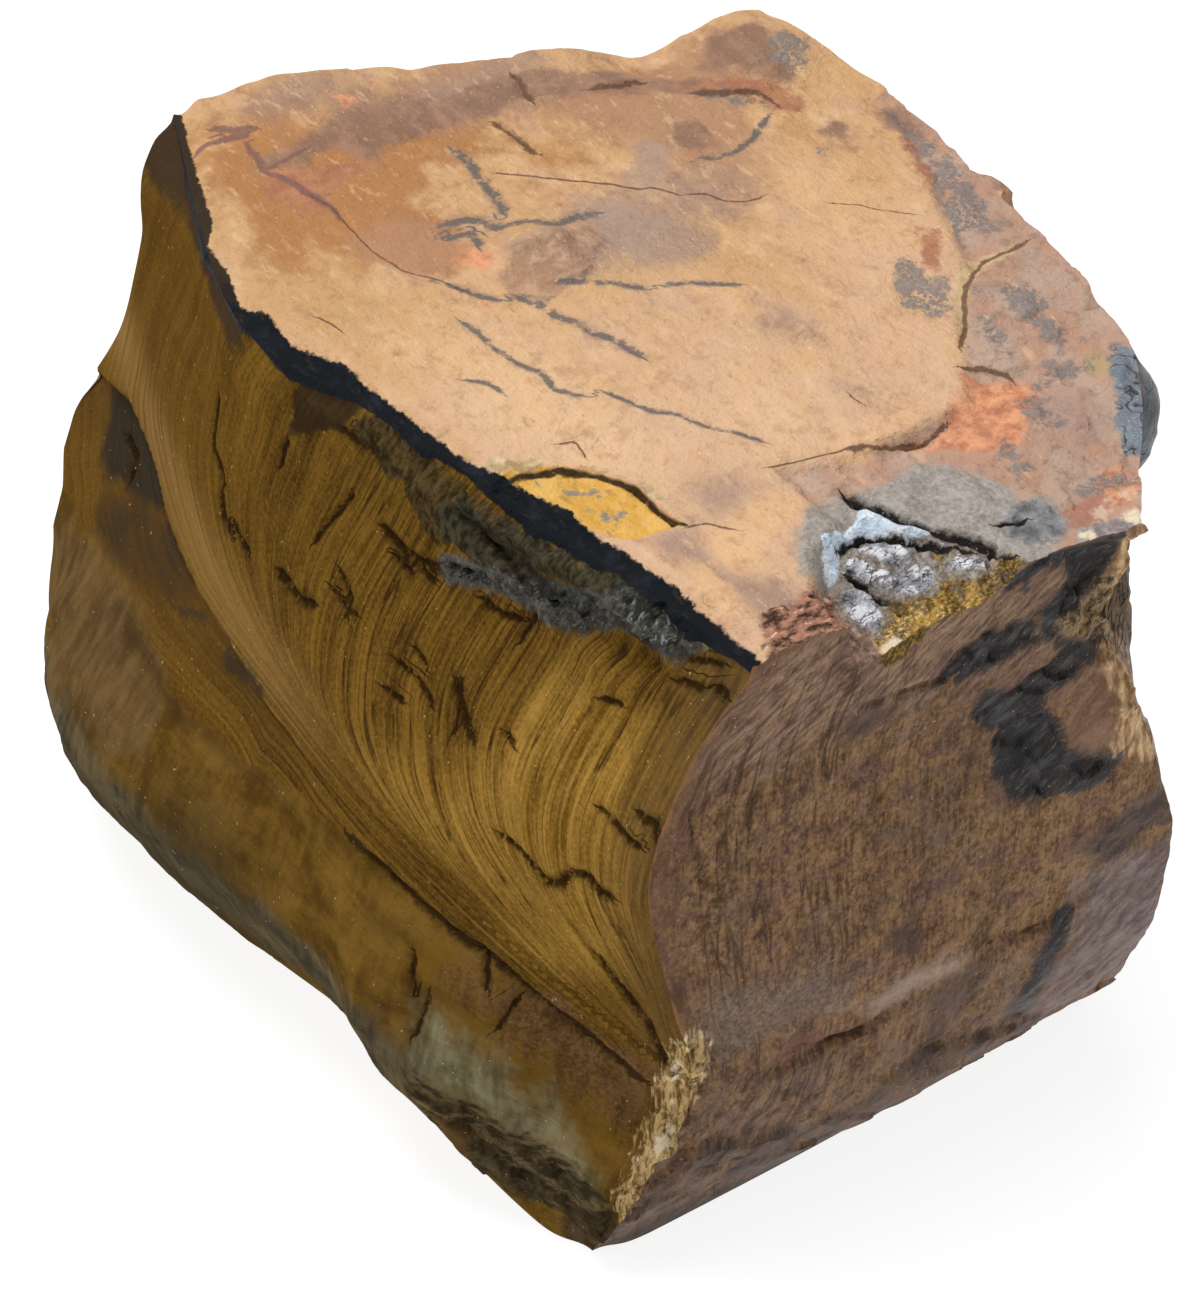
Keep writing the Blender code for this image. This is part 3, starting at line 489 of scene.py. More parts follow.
PALE_BROWN = ((-5.6, 28.9), (-1.1, 28.1), (2.2, 28.8), (6.5, 30.4), (10.2, 29.1), (8.1, 27.2),
              (4.1, 27.1), (0.3, 26.0))
# Painted sheen: where a greyish-lilac haze lies low on the brown face.
LILAC_SHEEN_ZONE = ((24.0, 33.0), (36, 34), (36, 12), (21.4, 11.0), (22.2, 17.0), (23.2, 24.0))
RED_BROWN = ((-12.1, 24.8), (-8.8, 26.1), (-4.1, 24.4), (-1.8, 24.0), (-2.9, 22.3), (-6.3, 23.3),
             (-9.7, 22.1))
BROWN_CRACKS = (  # half width, line
    (0.35, ((-4.6, 69.3), (3.9, 68.4), (4.7, 69.7), (6.3, 70.9), (8.8, 71.7), (11.6, 72.0))),
    (0.22, ((12.7, 29.3), (15.2, 28.5), (17.7, 27.9), (18.9, 28.1))),
    (0.25, ((-12.1, 23.6), (-8.8, 24.3), (-5.2, 23.4), (-1.8, 23.3), (0.5, 23.9))),
    (0.30, ((-18.4, 11.4), (-13.9, 9.6))),
    (0.20, ((-22.0, 63.0), (-21.6, 58.0), (-20.9, 54.0))),
    (0.20, ((-20.0, 48.0), (-18.9, 43.0), (-17.6, 40.0))),
)
DARK_FOOT = ((-32, 12), (-25.5, 10.6), (-21.4, 14.8), (-16.9, 14.4), (-13.0, 11.6),
             (-6.0, 11.0), (0.0, 13.6), (3.2, 16.6), (8.3, 16.0), (16.7, 12.6), (24.3, 10.4),
             (40, 9), (40, -2), (-32, -2))
BROWN_LEDGES = (
    (((-13.0, 21.2), (-8.6, 22.3), (-5.2, 23.0), (-1.8, 23.2), (0.5, 23.6), (3.5, 25.6)), 0.8, 4),
    (((9.0, 31.6), (12.6, 30.1), (16.7, 28.0), (20.2, 27.8), (27.0, 31.0)), 0.7, 5),
    (((-25.0, 10.8), (-21.4, 14.6), (-16.9, 14.2), (-13.0, 11.6), (-6.0, 11.0)), 0.9, 5),
    (((1.0, 15.0), (8.3, 16.0), (16.7, 12.6), (24.3, 10.4)), 0.8, 5),
)
DRUSE_SIDE = ((-5.5, 82), (-4.5, 76.5), (-2.8, 73.0), (-0.8, 73.2), (2.0, 76.0), (6.0, 78.0),
              (12.0, 79.5), (12.0, 82))
FRAY = (16.0, 30.0)  # heights between which the front arris is frayed


# ------------------------------------------------------------------ numbers

def curve(knots, values, at):
    """A smooth curve through values at knots, read at each place in at."""
    knots = np.asarray(knots, float)
    values = np.asarray(values, float)
    slopes = np.gradient(values, knots, axis=0)
    first = np.clip(np.searchsorted(knots, at, side="right") - 1, 0, len(knots) - 2)
    pick = (first,) if values.ndim == 2 else (first, np.arange(len(at)))
    after = (first + 1,) + pick[1:]
    gap = (knots[first + 1] - knots[first])[:, None]
    t = ((at - knots[first]) / gap[:, 0])[:, None]
    return (
        (1 + 2 * t) * (1 - t) ** 2 * values[pick]
        + t * (1 - t) ** 2 * gap * slopes[pick]
        + t**2 * (3 - 2 * t) * values[after]
        + t**2 * (t - 1) * gap * slopes[after]
    )


def smooth(low, high, value):
    """0 at low, 1 at high, with an S-curve between."""
    t = np.clip((value - low) / (high - low), 0, 1)
    return t * t * (3 - 2 * t)


def bell(value, width):
    """1 where value is 0, falling smoothly to about a third at this width."""
    return np.exp(-((value / width) ** 2))


def trace(line, x, y):
    """Distance from an open line, the same with a minus sign on its right, and how far along."""
    nearest = np.full(len(x), np.inf)
    side = np.zeros(len(x))
    along = np.zeros(len(x))
    lengths = [math.dist(a, b) for a, b in zip(line, line[1:])]
    total, gone = sum(lengths), 0.0
    for (ax, ay), (bx, by), length in zip(line, line[1:], lengths):
        ex, ey = bx - ax, by - ay
        t = np.clip(((x - ax) * ex + (y - ay) * ey) / (ex * ex + ey * ey), 0, 1)
        distance = np.hypot(x - ax - t * ex, y - ay - t * ey)
        closer = distance < nearest - 1e-9
        nearest = np.where(closer, distance, nearest)
        turn = ex * (y - ay) - ey * (x - ax)
        side = np.where(closer, np.where(turn >= 0, distance, -distance), side)
        along = np.where(closer, (gone + t * length) / total, along)
        gone += length
    return nearest, side, along


def distance_to(line, x, y):
    return trace(line, x, y)[0]


def inside(corners, x, y):
    """Distance in from the edge of a closed outline, negative outside it."""
    closed = tuple(corners) + (corners[0],)
    within = np.zeros(len(x), bool)
    for (ax, ay), (bx, by) in zip(closed, closed[1:]):
        if ay != by:
            spans = (ay > y) != (by > y)
            within ^= spans & (x < ax + (y - ay) * (bx - ax) / (by - ay))
    edge = distance_to(closed, x, y)
    return np.where(within, edge, -edge)


def union(outlines, x, y):
    """Distance in from the edge of the nearest of several outlines."""
    return np.max([inside(outline, x, y) for outline in outlines], axis=0)


def nearest_line(rows, x, y):
    """Distance from the nearest of several lines, and its signed distance over its half width."""
    traces = [(half,) + trace(line, x, y)[:2] for half, line in rows]
    distances = np.array([t[1] for t in traces])
    sides = np.array([t[2] / t[0] for t in traces])
    pick = np.abs(sides).argmin(axis=0), np.arange(len(x))
    return distances[pick], sides[pick]


def waves(points, size, seed):
    """Soft random relief of about -1 to 1, with bumps of this size."""
    shift = Vector((17.3 * seed, -9.1 * seed, 4.7 * seed))
    return np.array([noise.noise(Vector(point) / size + shift) for point in points])


def ridges(points, size, seed):
    """Random relief of about -1 to 1 that folds into sharp ridges, as broken rock does."""
    return 0.6 - 2.4 * np.abs(waves(points, size, seed))


def facets(points, size, seed):
    """Random relief of about -1 to 1 made of small flat planes, each with its own tilt."""
    shift = Vector((7.7 * seed, 3.1 * seed, -5.3 * seed))
    out = np.empty(len(points))
    for index, point in enumerate(points):
        place = Vector(point) / size + shift
        centre = noise.voronoi(place)[1][0]
        tilt = noise.cell_vector(centre * 7.31)
        out[index] = tilt.z + (place - centre).dot(tilt)
    return out


def steps(rises, along, z):
    """Steps in a side: each starts at its place along the base and leans as it goes up."""
    return sum(rise * smooth(-1.2, 1.2, along - start - lean * z) for start, lean, rise in rises)


def ledges(rows, x, y, crisp=0.3):
    """Relief of ledges: a sharp step along each line, which fades out away from it."""
    out = np.zeros(len(x))
    for line, drop, reach in rows:
        _, side, along = trace(line, x, y)
        end = smooth(0, 0.15, along) * smooth(1, 0.85, along)
        out -= drop * end * smooth(-crisp, crisp, side) * np.exp(-np.abs(side) / reach)
    return out


def side(ribs_and_places, along, height):
    ribs, places = ribs_and_places
    at_height = np.stack([curve(LEVELS, rib, height) for rib in ribs])
    return curve(places, at_height, along)


def plan_position(u, v, height):
    """Plan positions in a block whose four sides are the ribbed ones (a Coons patch)."""
    left_front, arris, right, left_back = (
        curve(LEVELS, rib, height)
        for rib in (RIB_LEFT_FRONT, RIB_ARRIS, RIB_RIGHT, RIB_LEFT_BACK))
    u, v, across, along = u[:, None], v[:, None], u, v
    return (
        (1 - v) * side(GOLD_SIDE, across, height)
        + v * side(BACK_SIDE, across, height)
        + (1 - u) * side(LEFT_END, along, height)
        + u * side(BROWN_SIDE, along, height)
        - (1 - u) * (1 - v) * left_front
        - u * (1 - v) * arris
        - u * v * right
        - (1 - u) * v * left_back
    )


# ------------------------------------------------------------------ fibres

GOLD_FIBRES = (  # place along the top edge, the fibre's line down the golden face
    (-36, ((-34.5, 82), (-35.4, 76.5), (-39.5, 67.9), (-41.4, 61.0), (-40.7, 55.5),
           (-37.3, 51.8), (-32.6, 49.2), (-25.9, 47.6), (-18.1, 46.9), (-10.4, 46.5),
           (-1.0, 45.9), (8.7, 44.6), (18.2, 42.5), (26.5, 40.1), (34.4, 36.5), (41.8, 31.5),
           (45.7, 27.5))),
    (-16, ((-14.0, 82), (-16.1, 78.0), (-21.1, 68.3), (-23.2, 60.3), (-20.7, 54.4),
           (-15.1, 51.0), (-9.0, 49.2), (-2.3, 47.8), (5.8, 46.5), (15.0, 44.2), (23.8, 41.3),
           (31.6, 38.0), (38.6, 33.7), (44.6, 28.5))),
    (4, ((4.8, 83), (3.5, 75.7), (-0.0, 68.1), (-1.8, 62.7), (-2.6, 57.4), (-2.0, 53.2),
         (-0.3, 50.0), (3.6, 47.6), (9.0, 45.9), (16.0, 43.5), (24.0, 40.1), (31.3, 37.2),
         (38.3, 33.2), (43.3, 29.4), (46.2, 26.8))),
    (21, ((23.5, 83), (19.7, 70.9), (17.9, 66.3), (17.2, 62.4), (17.1, 59.6), (17.6, 56.8),
          (18.8, 54.0), (20.4, 51.8), (22.5, 49.2), (25.0, 46.8), (28.8, 43.7), (32.9, 40.2),
          (37.4, 36.2), (41.8, 32.0), (44.9, 28.4))),
    (28, ((28.5, 83), (25.3, 75.0), (24.0, 70.3), (22.7, 64.3), (22.4, 58.5), (23.3, 55.6),
          (25.1, 52.9), (27.6, 50.2), (30.8, 47.8), (34.4, 45.1), (37.9, 41.8), (41.4, 36.9),
          (44.3, 31.4), (46.2, 27.3))),
    (39, ((40.8, 83), (38.8, 77.7), (37.6, 74.3), (36.5, 70.6), (36.0, 67.2), (35.5, 64.5),
          (35.2, 61.5), (35.1, 58.3), (35.3, 55.8), (35.8, 53.2), (36.9, 49.7), (38.9, 46.0),
          (41.1, 42.3), (43.5, 37.4), (45.3, 31.2), (46.4, 27.7))),
    (44.5, ((46.0, 83), (44.3, 78.2), (44.0, 75.6), (43.3, 71.8), (42.9, 68.6), (42.6, 64.9),
            (42.5, 61.8), (42.6, 58.2), (42.9, 54.8), (43.4, 51.3), (44.3, 48.0), (45.5, 44.5),
            (46.5, 39.6), (46.8, 34.1), (46.8, 28.8))),
    (50, ((50.4, 83), (49.9, 78.5), (49.4, 73.0), (49.0, 70.1), (48.8, 66.2), (48.5, 61.9),
          (48.4, 57.4), (48.0, 53.4), (47.7, 47.3), (47.7, 42.1), (47.8, 37.0), (47.2, 30.7))),
)


def rounded(line, count=90):
    """A line's points, many and evenly spread, with its corners rounded."""
    points = np.array(line, float)
    runs = np.cumsum([0, *np.hypot(*np.diff(points, axis=0).T)])
    return curve(runs, points, np.linspace(0, runs[-1], count))


def golden_fibre(x, z):
    """The place, along the top edge, of the fibre that passes each point of the golden face."""
    places = [place for place, _ in GOLD_FIBRES]
    first, first_side, _ = trace(rounded(GOLD_FIBRES[0][1], 40), x, z)
    passes = []
    for _, line in GOLD_FIBRES:
        across, down = rounded(line)[::-1].T
        passes.append(np.interp(z, np.maximum.accumulate(down), across))
    places = np.array([places[0] - 60, *places, places[-1] + 20])
    passes = np.array([passes[0] - 60, *passes, passes[-1] + 20]).T
    passes = np.maximum.accumulate(passes, axis=1)
    count = np.clip((passes < x[:, None]).sum(axis=1), 1, len(places) - 1)
    row = np.arange(len(x))
    low, high = passes[row, count - 1], passes[row, count]
    t = np.clip((x - low) / np.maximum(high - low, 1e-6), 0, 1)
    within = places[count - 1] + t * (places[count] - places[count - 1])
    return np.where(first_side > 0, within, places[1] - first)


def brown_fibre(y, z):
    """The place, along the top edge, of the fibre that passes each point of the brown face."""
    arris = curve(LEVELS, RIB_ARRIS, z)[:, 1]
    return y - (arris + 16.3) * np.exp(-np.maximum(y - arris, 0) / 18)


# ------------------------------------------------------------------ relief

def solid_top(x, y, points):
    """The solid's own relief of the seam wall."""
    def peak(at, spread):
        return np.exp(-((x - at[0]) ** 2 + (y - at[1]) ** 2) / spread)
    crust = smooth(-0.8, 0.8, inside(CRUST_EDGE, x, y))
    rim_line = [rib[-1] for rib in GOLD_SIDE[0]]
    pocket = smooth(-0.5, 1.5, inside(POCKET_EDGE, x, y))
    return (
        0.6 * waves(points, 24, 1)
        + 0.3 * waves(points, 8, 2) * (1 + crust)
        + 1.6 * peak(CRUSTY_LUMP, 20)
        + 1.8 * peak(CORNER_PEAK, 60)
        + 0.7 * peak(END_PEAK, 90)
        - CRUST_DROP * crust
        - FLAKE_DEPTH * smooth(0, 1.6, inside(FLAKE_EDGE, x, y))
        - RIM_DROP * smooth(RIM_WIDTH, 0.4, distance_to(rim_line, x, y))
        - (POCKET_STEP + POCKET_SLOPE * distance_to(POCKET_SILL, x, y)) * pocket
    )


def crusty_lump(x, y):
    return np.exp(-((x - CRUSTY_LUMP[0]) ** 2 + (y - CRUSTY_LUMP[1]) ** 2) / CRUSTY_LUMP_SPREAD)


def fine_top(x, y, points):
    """The small forms of the seam wall."""
    crust = smooth(-0.5, 0.5, inside(CRUST_EDGE, x, y))
    pocket = smooth(-0.3, 0.3, inside(POCKET_EDGE, x, y))
    flakes = smooth(-0.25, 0.25, union(SILVER_FLAKES, x, y))
    strip = smooth(-0.15, 0.25, inside(GLOSSY_STRIP, x, y))
    crystals = smooth(-0.4, 0.4, inside(CRYSTALS, x, y))
    lump = crusty_lump(x, y)
    window = inside(FLAKE_EDGE, x, y)
    wall = distance_to(FLAKE_WALL, x, y)
    near = nearest_line(TOP_CRACKS, x, y)[0]
    slits = np.sum([(0.35 + half) * bell(distance_to(line, x, y), half)
                    for half, line in POCKET_CRACKS], axis=0)
    out = 0.16 * waves(points, 3.3, 11) + 0.09 * waves(points, 1.5, 12)
    out += crust * (0.30 * facets(points, 3.4, 13) + 0.14 * waves(points, 1.4, 14))
    out += lump * 0.55 * facets(points, 2.4, 15)
    out += ledges(TOP_LEDGES, x, y)
    out -= 0.16 * bell(near, 0.35)
    out -= FLAKE_DEPTH * bell(wall, 1.3) * (
        smooth(0, 0.4, window) - smooth(0, 1.3, window))
    out += 0.3 * smooth(0.05, -0.3, window) * bell(wall, 0.9)
    out += flakes * (0.5 + 0.45 * facets(points, 2.6, 16)) + strip * 0.6
    out += pocket * (1 - flakes) * 0.4 * facets(points, 1.1, 17)
    out += crystals * (0.45 * facets(points, 1.6, 18) - 0.3)
    return out - slits


def drawn_out(across, z, width, length):
    """Places to read noise from, so that its grains are this wide and this long."""
    return np.column_stack((across / width, z / length, across * 0))


def solid_sides(points, u, v):
    """The solid's own relief of the four sides, out from the ribbed shape."""
    x, y, z = points.T
    gold, brown = v == 0, u == 1
    hidden = ((v == 1) | (u == 0)) & ~gold & ~brown
    out = np.zeros(len(points))
    p = points[gold]
    crease = np.interp(p[:, 0], *np.transpose(CREASE))
    toe = smooth(0, 3, crease - p[:, 2])
    out[gold] += 0.35 * waves(p, 14, 3) + 0.8 * toe * ridges(p, 12, 4)
    out[gold] -= RIM_NOTCH_DEPTH * smooth(0, 3.0, inside(RIM_NOTCH, p[:, 0], p[:, 2]))
    p = points[brown]
    out[brown] += 0.5 * waves(p, 12, 5) + 0.6 * ridges(p, 18, 6)
    out[brown] -= RIGHT_CHIP_DEPTH * smooth(0, 2.5, inside(RIGHT_CHIP, p[:, 1], p[:, 2]))
    away = smooth(0, 0.15, np.where(u == 0, v, 1 - u))
    p = points[hidden]
    out[hidden] += away[hidden] * (1.2 * waves(p, 25, 7) + 1.6 * ridges(p, 24, 8))
    out += (v == 1) * away * steps(BACK_STEPS, x, z)
    out += (u == 0) * away * steps(END_STEPS, y, z)
    out += (v == 1) * KNOB_REACH * smooth(9, 3, np.linalg.norm(points - KNOB, axis=1))
    return out * smooth(0, 8, z)


def fine_gold(points):
    """The small forms of the golden face."""
    x, _, z = points.T
    fibre = golden_fibre(x, z)
    lower = np.interp(x, *np.transpose(LOWER_EDGE))
    toe = smooth(-0.6, 1.2, lower - z)
    bundles = drawn_out(fibre, z, 1.9, 16)
    streaks = drawn_out(x, z, 1.7, 9)
    fold = smooth(18, -5, x)
    fold_side = trace(FOLD_EDGE, x, z)[1]
    crack, _, along = trace(CREASE_CRACK, x, z)
    chips = nearest_line(GOLD_CHIPS, x, z)[0]
    rough = smooth(-0.4, 0.4, inside(ROUGH_ZONE, x, z))
    lips = smooth(-0.4, 0.6, union((GREY_LIP, RUBBLE_LIP), x, z)) * (1 - rough)
    tip = smooth(15, 9, z) * smooth(22, 28, x)
    rim = smooth(-0.25, 0.25, z - np.interp(x, *np.transpose(RIM_FOOT)))
    ends = smooth(0, 0.15, along) * smooth(1, 0.95, along)
    out = (1 - toe) * 0.20 * waves(bundles, 1, 21)
    out += toe * (0.3 * waves(points, 5, 22) + 0.16 * waves(streaks, 1, 23))
    out -= 1.2 * fold * smooth(0.5, -0.5, fold_side) * np.exp(-np.abs(fold_side) / 9)
    out -= 0.9 * ends * bell(crack, 0.55)
    out -= 0.5 * bell(chips, 0.4)
    out += rough * (0.9 * facets(points, 1.5, 24) - 0.3) + lips * 0.35 * facets(points, 1.8, 27)
    out += tip * 0.5 * facets(points, 3.5, 26)
    out += rim * 0.3
    out += ledges(TOE_LEDGES, x, z)
    return out + fray(points, 25)


def fine_brown(points):
    """The small forms of the brown face."""
    _, y, z = points.T
    fibre = brown_fibre(y, z)
    bundles = drawn_out(fibre, z, 1.5, 8)
    blue = smooth(-0.4, 0.6, union((BLUE_SLASH, BLUE_PATCH, BLUE_BAND, BLUE_EDGE), y, z))
    rough = smooth(-0.4, 0.4, union((OLIVE_ROUGH, GOLDEN_EDGE), y, z))
    cracks = nearest_line(BROWN_CRACKS, y, z)[0]
    out = 0.16 * waves(points, 2.4, 31) + 0.10 * waves(points, 1.2, 32)
    out += 0.14 * waves(bundles, 1, 33)
    out += blue * (0.35 * facets(points, 3.2, 34) - 0.3)
    out += rough * 0.55 * facets(points, 2.2, 35)
    out += smooth(26, 8, z) * 0.4 * facets(points, 5.5, 36)
    out -= 0.3 * bell(cracks, 0.4)
    out += ledges(BROWN_LEDGES, y, z)
    return out + fray(points, 25)


def fray(points, seed):
    """Splinters along the lower part of the front arris."""
    x, y, z = points.T
    arris = curve(LEVELS, RIB_ARRIS, z)
    near = np.exp(-((x - arris[:, 0]) ** 2 + (y - arris[:, 1]) ** 2) / 9)
    low = smooth(FRAY[1] + 4, FRAY[1] - 2, z) * smooth(2, 6, z)
    return near * low * (0.9 * facets(points * (1, 1, 0.45), 1.5, seed) - 0.2)


def fine_hidden(points):
    """The small forms of the back and the left end: long splinters and hackly breaks."""
    x, y, z = points.T
    along = x + y + 0.16 * z
    bundles = drawn_out(along, z, 3.2, 22)
    arris = curve(LEVELS, RIB_RIGHT, z)
    near = np.exp(-((x - arris[:, 0]) ** 2 + (y - arris[:, 1]) ** 2) / 160)
    out = 0.45 * waves(bundles, 1, 41) + 0.35 * facets(points, 8, 42)
    out -= 2.4 * near * smooth(52, 61, z) * smooth(80, 75, z)
    return out + 0.16 * waves(points, 3, 43)


# ------------------------------------------------------------------ mesh

SIDES = (  # name, fixed axis, its end, the two running axes (first x second points out), step
    ("top", 2, 1, 0, 1, 1),
    ("gold", 1, 0, 0, 2, 1),
    ("brown", 0, 1, 1, 2, 1),
    ("back", 1, 1, 2, 0, 2),
    ("end", 0, 0, 2, 1, 2),
)
BASE = len(SIDES)
COUNTS = (FINE_X, FINE_Y, FINE_Z)


def shell():
    """The block's grid: its corners as grid places, its faces, and the side of each face."""
    used = np.zeros([count + 1 for count in COUNTS], bool)
    for _, axis, end, _, _, step in SIDES:
        if step == 1:
            used[tuple(end * COUNTS[a] if a == axis else slice(None) for a in range(3))] = True
    number, places, faces, owners = {}, [], [], []

    def corner(place):
        if place not in number:
            number[place] = len(places)
            places.append(place)
        return number[place]

    for owner, (_, axis, end, first, second, step) in enumerate(SIDES):
        def at(a, b):
            place = [0, 0, 0]
            place[axis], place[first], place[second] = end * COUNTS[axis], a, b
            return tuple(place)
        for a in range(0, COUNTS[first], step):
            for b in range(0, COUNTS[second], step):
                loop = [at(a, b), at(a + step, b), at(a + step, b + step), at(a, b + step)]
                if step == 2:
                    middles = [at(a + 1, b), at(a + 2, b + 1), at(a + 1, b + 2), at(a, b + 1)]
                    pairs = [p for pair in zip(loop, middles) for p in pair]
                    loop = [p for n, p in enumerate(pairs) if n % 2 == 0 or used[p]]
                faces.append([corner(p) for p in loop])
                owners.append(owner)
    nx, ny, _ = COUNTS
    rim = ([(i, 0, 0) for i in range(nx)] + [(nx, j, 0) for j in range(ny)]
           + [(i, ny, 0) for i in range(nx, 0, -2)] + [(0, j, 0) for j in range(ny, 0, -2)])
    faces.append([number[p] for p in reversed(rim)])
    owners.append(BASE)
    return np.array(places), faces, np.array(owners)


def normals_of(mesh, points):
    mesh.vertices.foreach_set("co", points.ravel())
    mesh.update()
    normals = np.empty(points.size)
    mesh.vertex_normals.foreach_get("vector", normals)
    return normals.reshape(-1, 3)


def to_frame(points):
    return (points - (CENTRE_X, CENTRE_Y, 0)) * MM


def block_mesh():
    """The fine block: ribs, the solid's relief, then the small forms."""
    places, faces, owners = shell()
    share = places / COUNTS
    u, v = share[:, 0], share[:, 1]
    w = np.interp(share[:, 2], (0, LOW_ROWS[0], 1), (0, LOW_ROWS[1], 1))
    points = np.column_stack((plan_position(u, v, w * HEIGHT), w * HEIGHT))
    mesh = bpy.data.meshes.new("tigers_eye")
    mesh.from_pydata(points, [], faces)
    flat = normals_of(mesh, points) * (1, 1, 0)
    points = points + flat * solid_sides(points, u, v)[:, None]
    high = points[:, 2] > TOP_FADE[0]
    x, y = points[high, :2].T
    level = np.column_stack((x, y, np.full(len(x), HEIGHT)))
    dip = np.exp(-((x - BACK_DIP[0]) / 6) ** 2 - ((y - BACK_DIP[1]) / 5.5) ** 2)
    lift = (solid_top(x, y, level) - BACK_DIP_DEPTH * dip) * smooth(*TOP_FADE, points[high, 2])
    on_top = np.zeros(len(points), bool)
    on_top[high] = points[high, 2] >= HEIGHT - 1e-6
    fine = np.zeros(high.sum())
    top_rows = on_top[high]
    fine[top_rows] = fine_top(x[top_rows], y[top_rows], level[top_rows])
    points[high, 2] += lift + fine
    gold, brown = v == 0, u == 1
    hidden = ((v == 1) | (u == 0)) & ~gold & ~brown
    push = np.zeros(len(points))
    for mask, form in ((gold, fine_gold), (brown, fine_brown), (hidden, fine_hidden)):
        push[mask] += form(points[mask])
    both = gold & brown
    push[both] *= 0.5
    foot = smooth(0, 5, points[:, 2])
    tip = RIB_ARRIS[0]
    away = np.hypot(points[:, 0] - tip[0], points[:, 1] - tip[1])
    points[:, :2] -= (np.array([[0.62, -0.78]]) * TIP_ROUND
                      * (np.exp(-(away / 4) ** 2) * smooth(7, 0, points[:, 2]))[:, None])
    points = points + normals_of(mesh, points) * (1, 1, 0) * (push * foot)[:, None]
    mesh.vertices.foreach_set("co", to_frame(points).ravel())
    mesh.update()
    return mesh, points, share, owners


# ------------------------------------------------------------------ what is painted where

def soft_spots(spots, x, y):
    """The sum of soft round spots, each (x, y, radius along x, along y, strength)."""
    out = np.zeros(len(x))
    for cx, cy, rx, ry, strength in spots:
        out += strength * np.exp(-(((x - cx) / rx) ** 2 + ((y - cy) / ry) ** 2))
    return out


OCHRE_SPOTS = ((-45, -17, 6, 5, 0.35), (-33, -9, 6, 8, 1.0), (-38, 4, 7, 8, 0.6),
               (-20, -8, 6, 5, 0.7), (-42, -12, 10, 8, 0.5), (-24, 10, 9, 7, 0.35),
               (-28, -18, 10, 7, 0.45), (-34, 26, 5, 8, 0.5), (-14, 34, 8, 6, 0.4))
TAN_SPOTS = ((-26, -22, 14, 7, 1.0), (-42, -18, 12, 5, 0.8), (-12, -18, 9, 6, 0.6),
             (-30, 4, 8, 8, 0.6), (-24, 20, 10, 9, 0.7), (-4, 10, 8, 8, 0.5))
PALE_SPOTS = ((6, -14, 16, 7, 1.0), (-4, 2, 9, 8, 0.5), (22, 4, 12, 8, 0.6),
              (14, 16, 12, 8, 0.3), (20, -10, 9, 5, 0.5), (-7, -19.5, 4, 2.5, 0.9))
ORANGE_SPOTS = ((37, -9.5, 4, 3, 1.0), (34, -3, 3, 5, 0.9), (40.5, -14, 5, 1.6, 0.9),
                (26, -6, 4, 3, 0.4), (30, 12, 4, 6, 0.5), (-12, 32, 10, 6, 0.5),
                (2, 30, 10, 7, 0.5), (18, 22, 9, 6, 0.4))
MAUVE_SPOTS = ((38.5, -12.6, 5, 1.8, 1.0), (-12, 18, 7, 8, 0.8), (-10, 2, 5, 6, 0.9),
               (-40, 10, 5, 14, 0.8), (30, -6, 6, 4, 0.8), (34, -13, 5, 2.5, 0.7),
               (24, 12, 7, 6, 0.4), (45, -10, 4, 3, 0.9), (-12, 8, 8, 6, 0.4),
               (10, 14, 7, 4, 0.5), (-49, -6, 4, 12, 0.7), (2, 4, 5, 3, 0.3),
               (31, 3, 3, 5, 0.4))
REDDISH_SPOTS = ((-20, -8, 4, 4, 0.8), (-43, 8, 4, 10, 0.9), (-33, 31, 4, 8, 0.9),
                 (-17, 25, 9, 7, 0.9), (-30, 21, 6, 7, 0.9), (-36, 10, 5, 6, 0.7),
                 (-18, -11, 7, 3, 0.7), (-26, 30, 6, 6, 0.9), (-44, -6, 5, 8, 0.5),
                 (6, 42, 10, 3, 0.8), (38, 27, 8, 8, 0.7), (46, 24, 6, 6, 0.6))


def off_rib(rib, points):
    """Level distance of each point from an upright rib."""
    place = curve(LEVELS, rib, points[:, 2])
    return np.hypot(points[:, 0] - place[:, 0], points[:, 1] - place[:, 1])


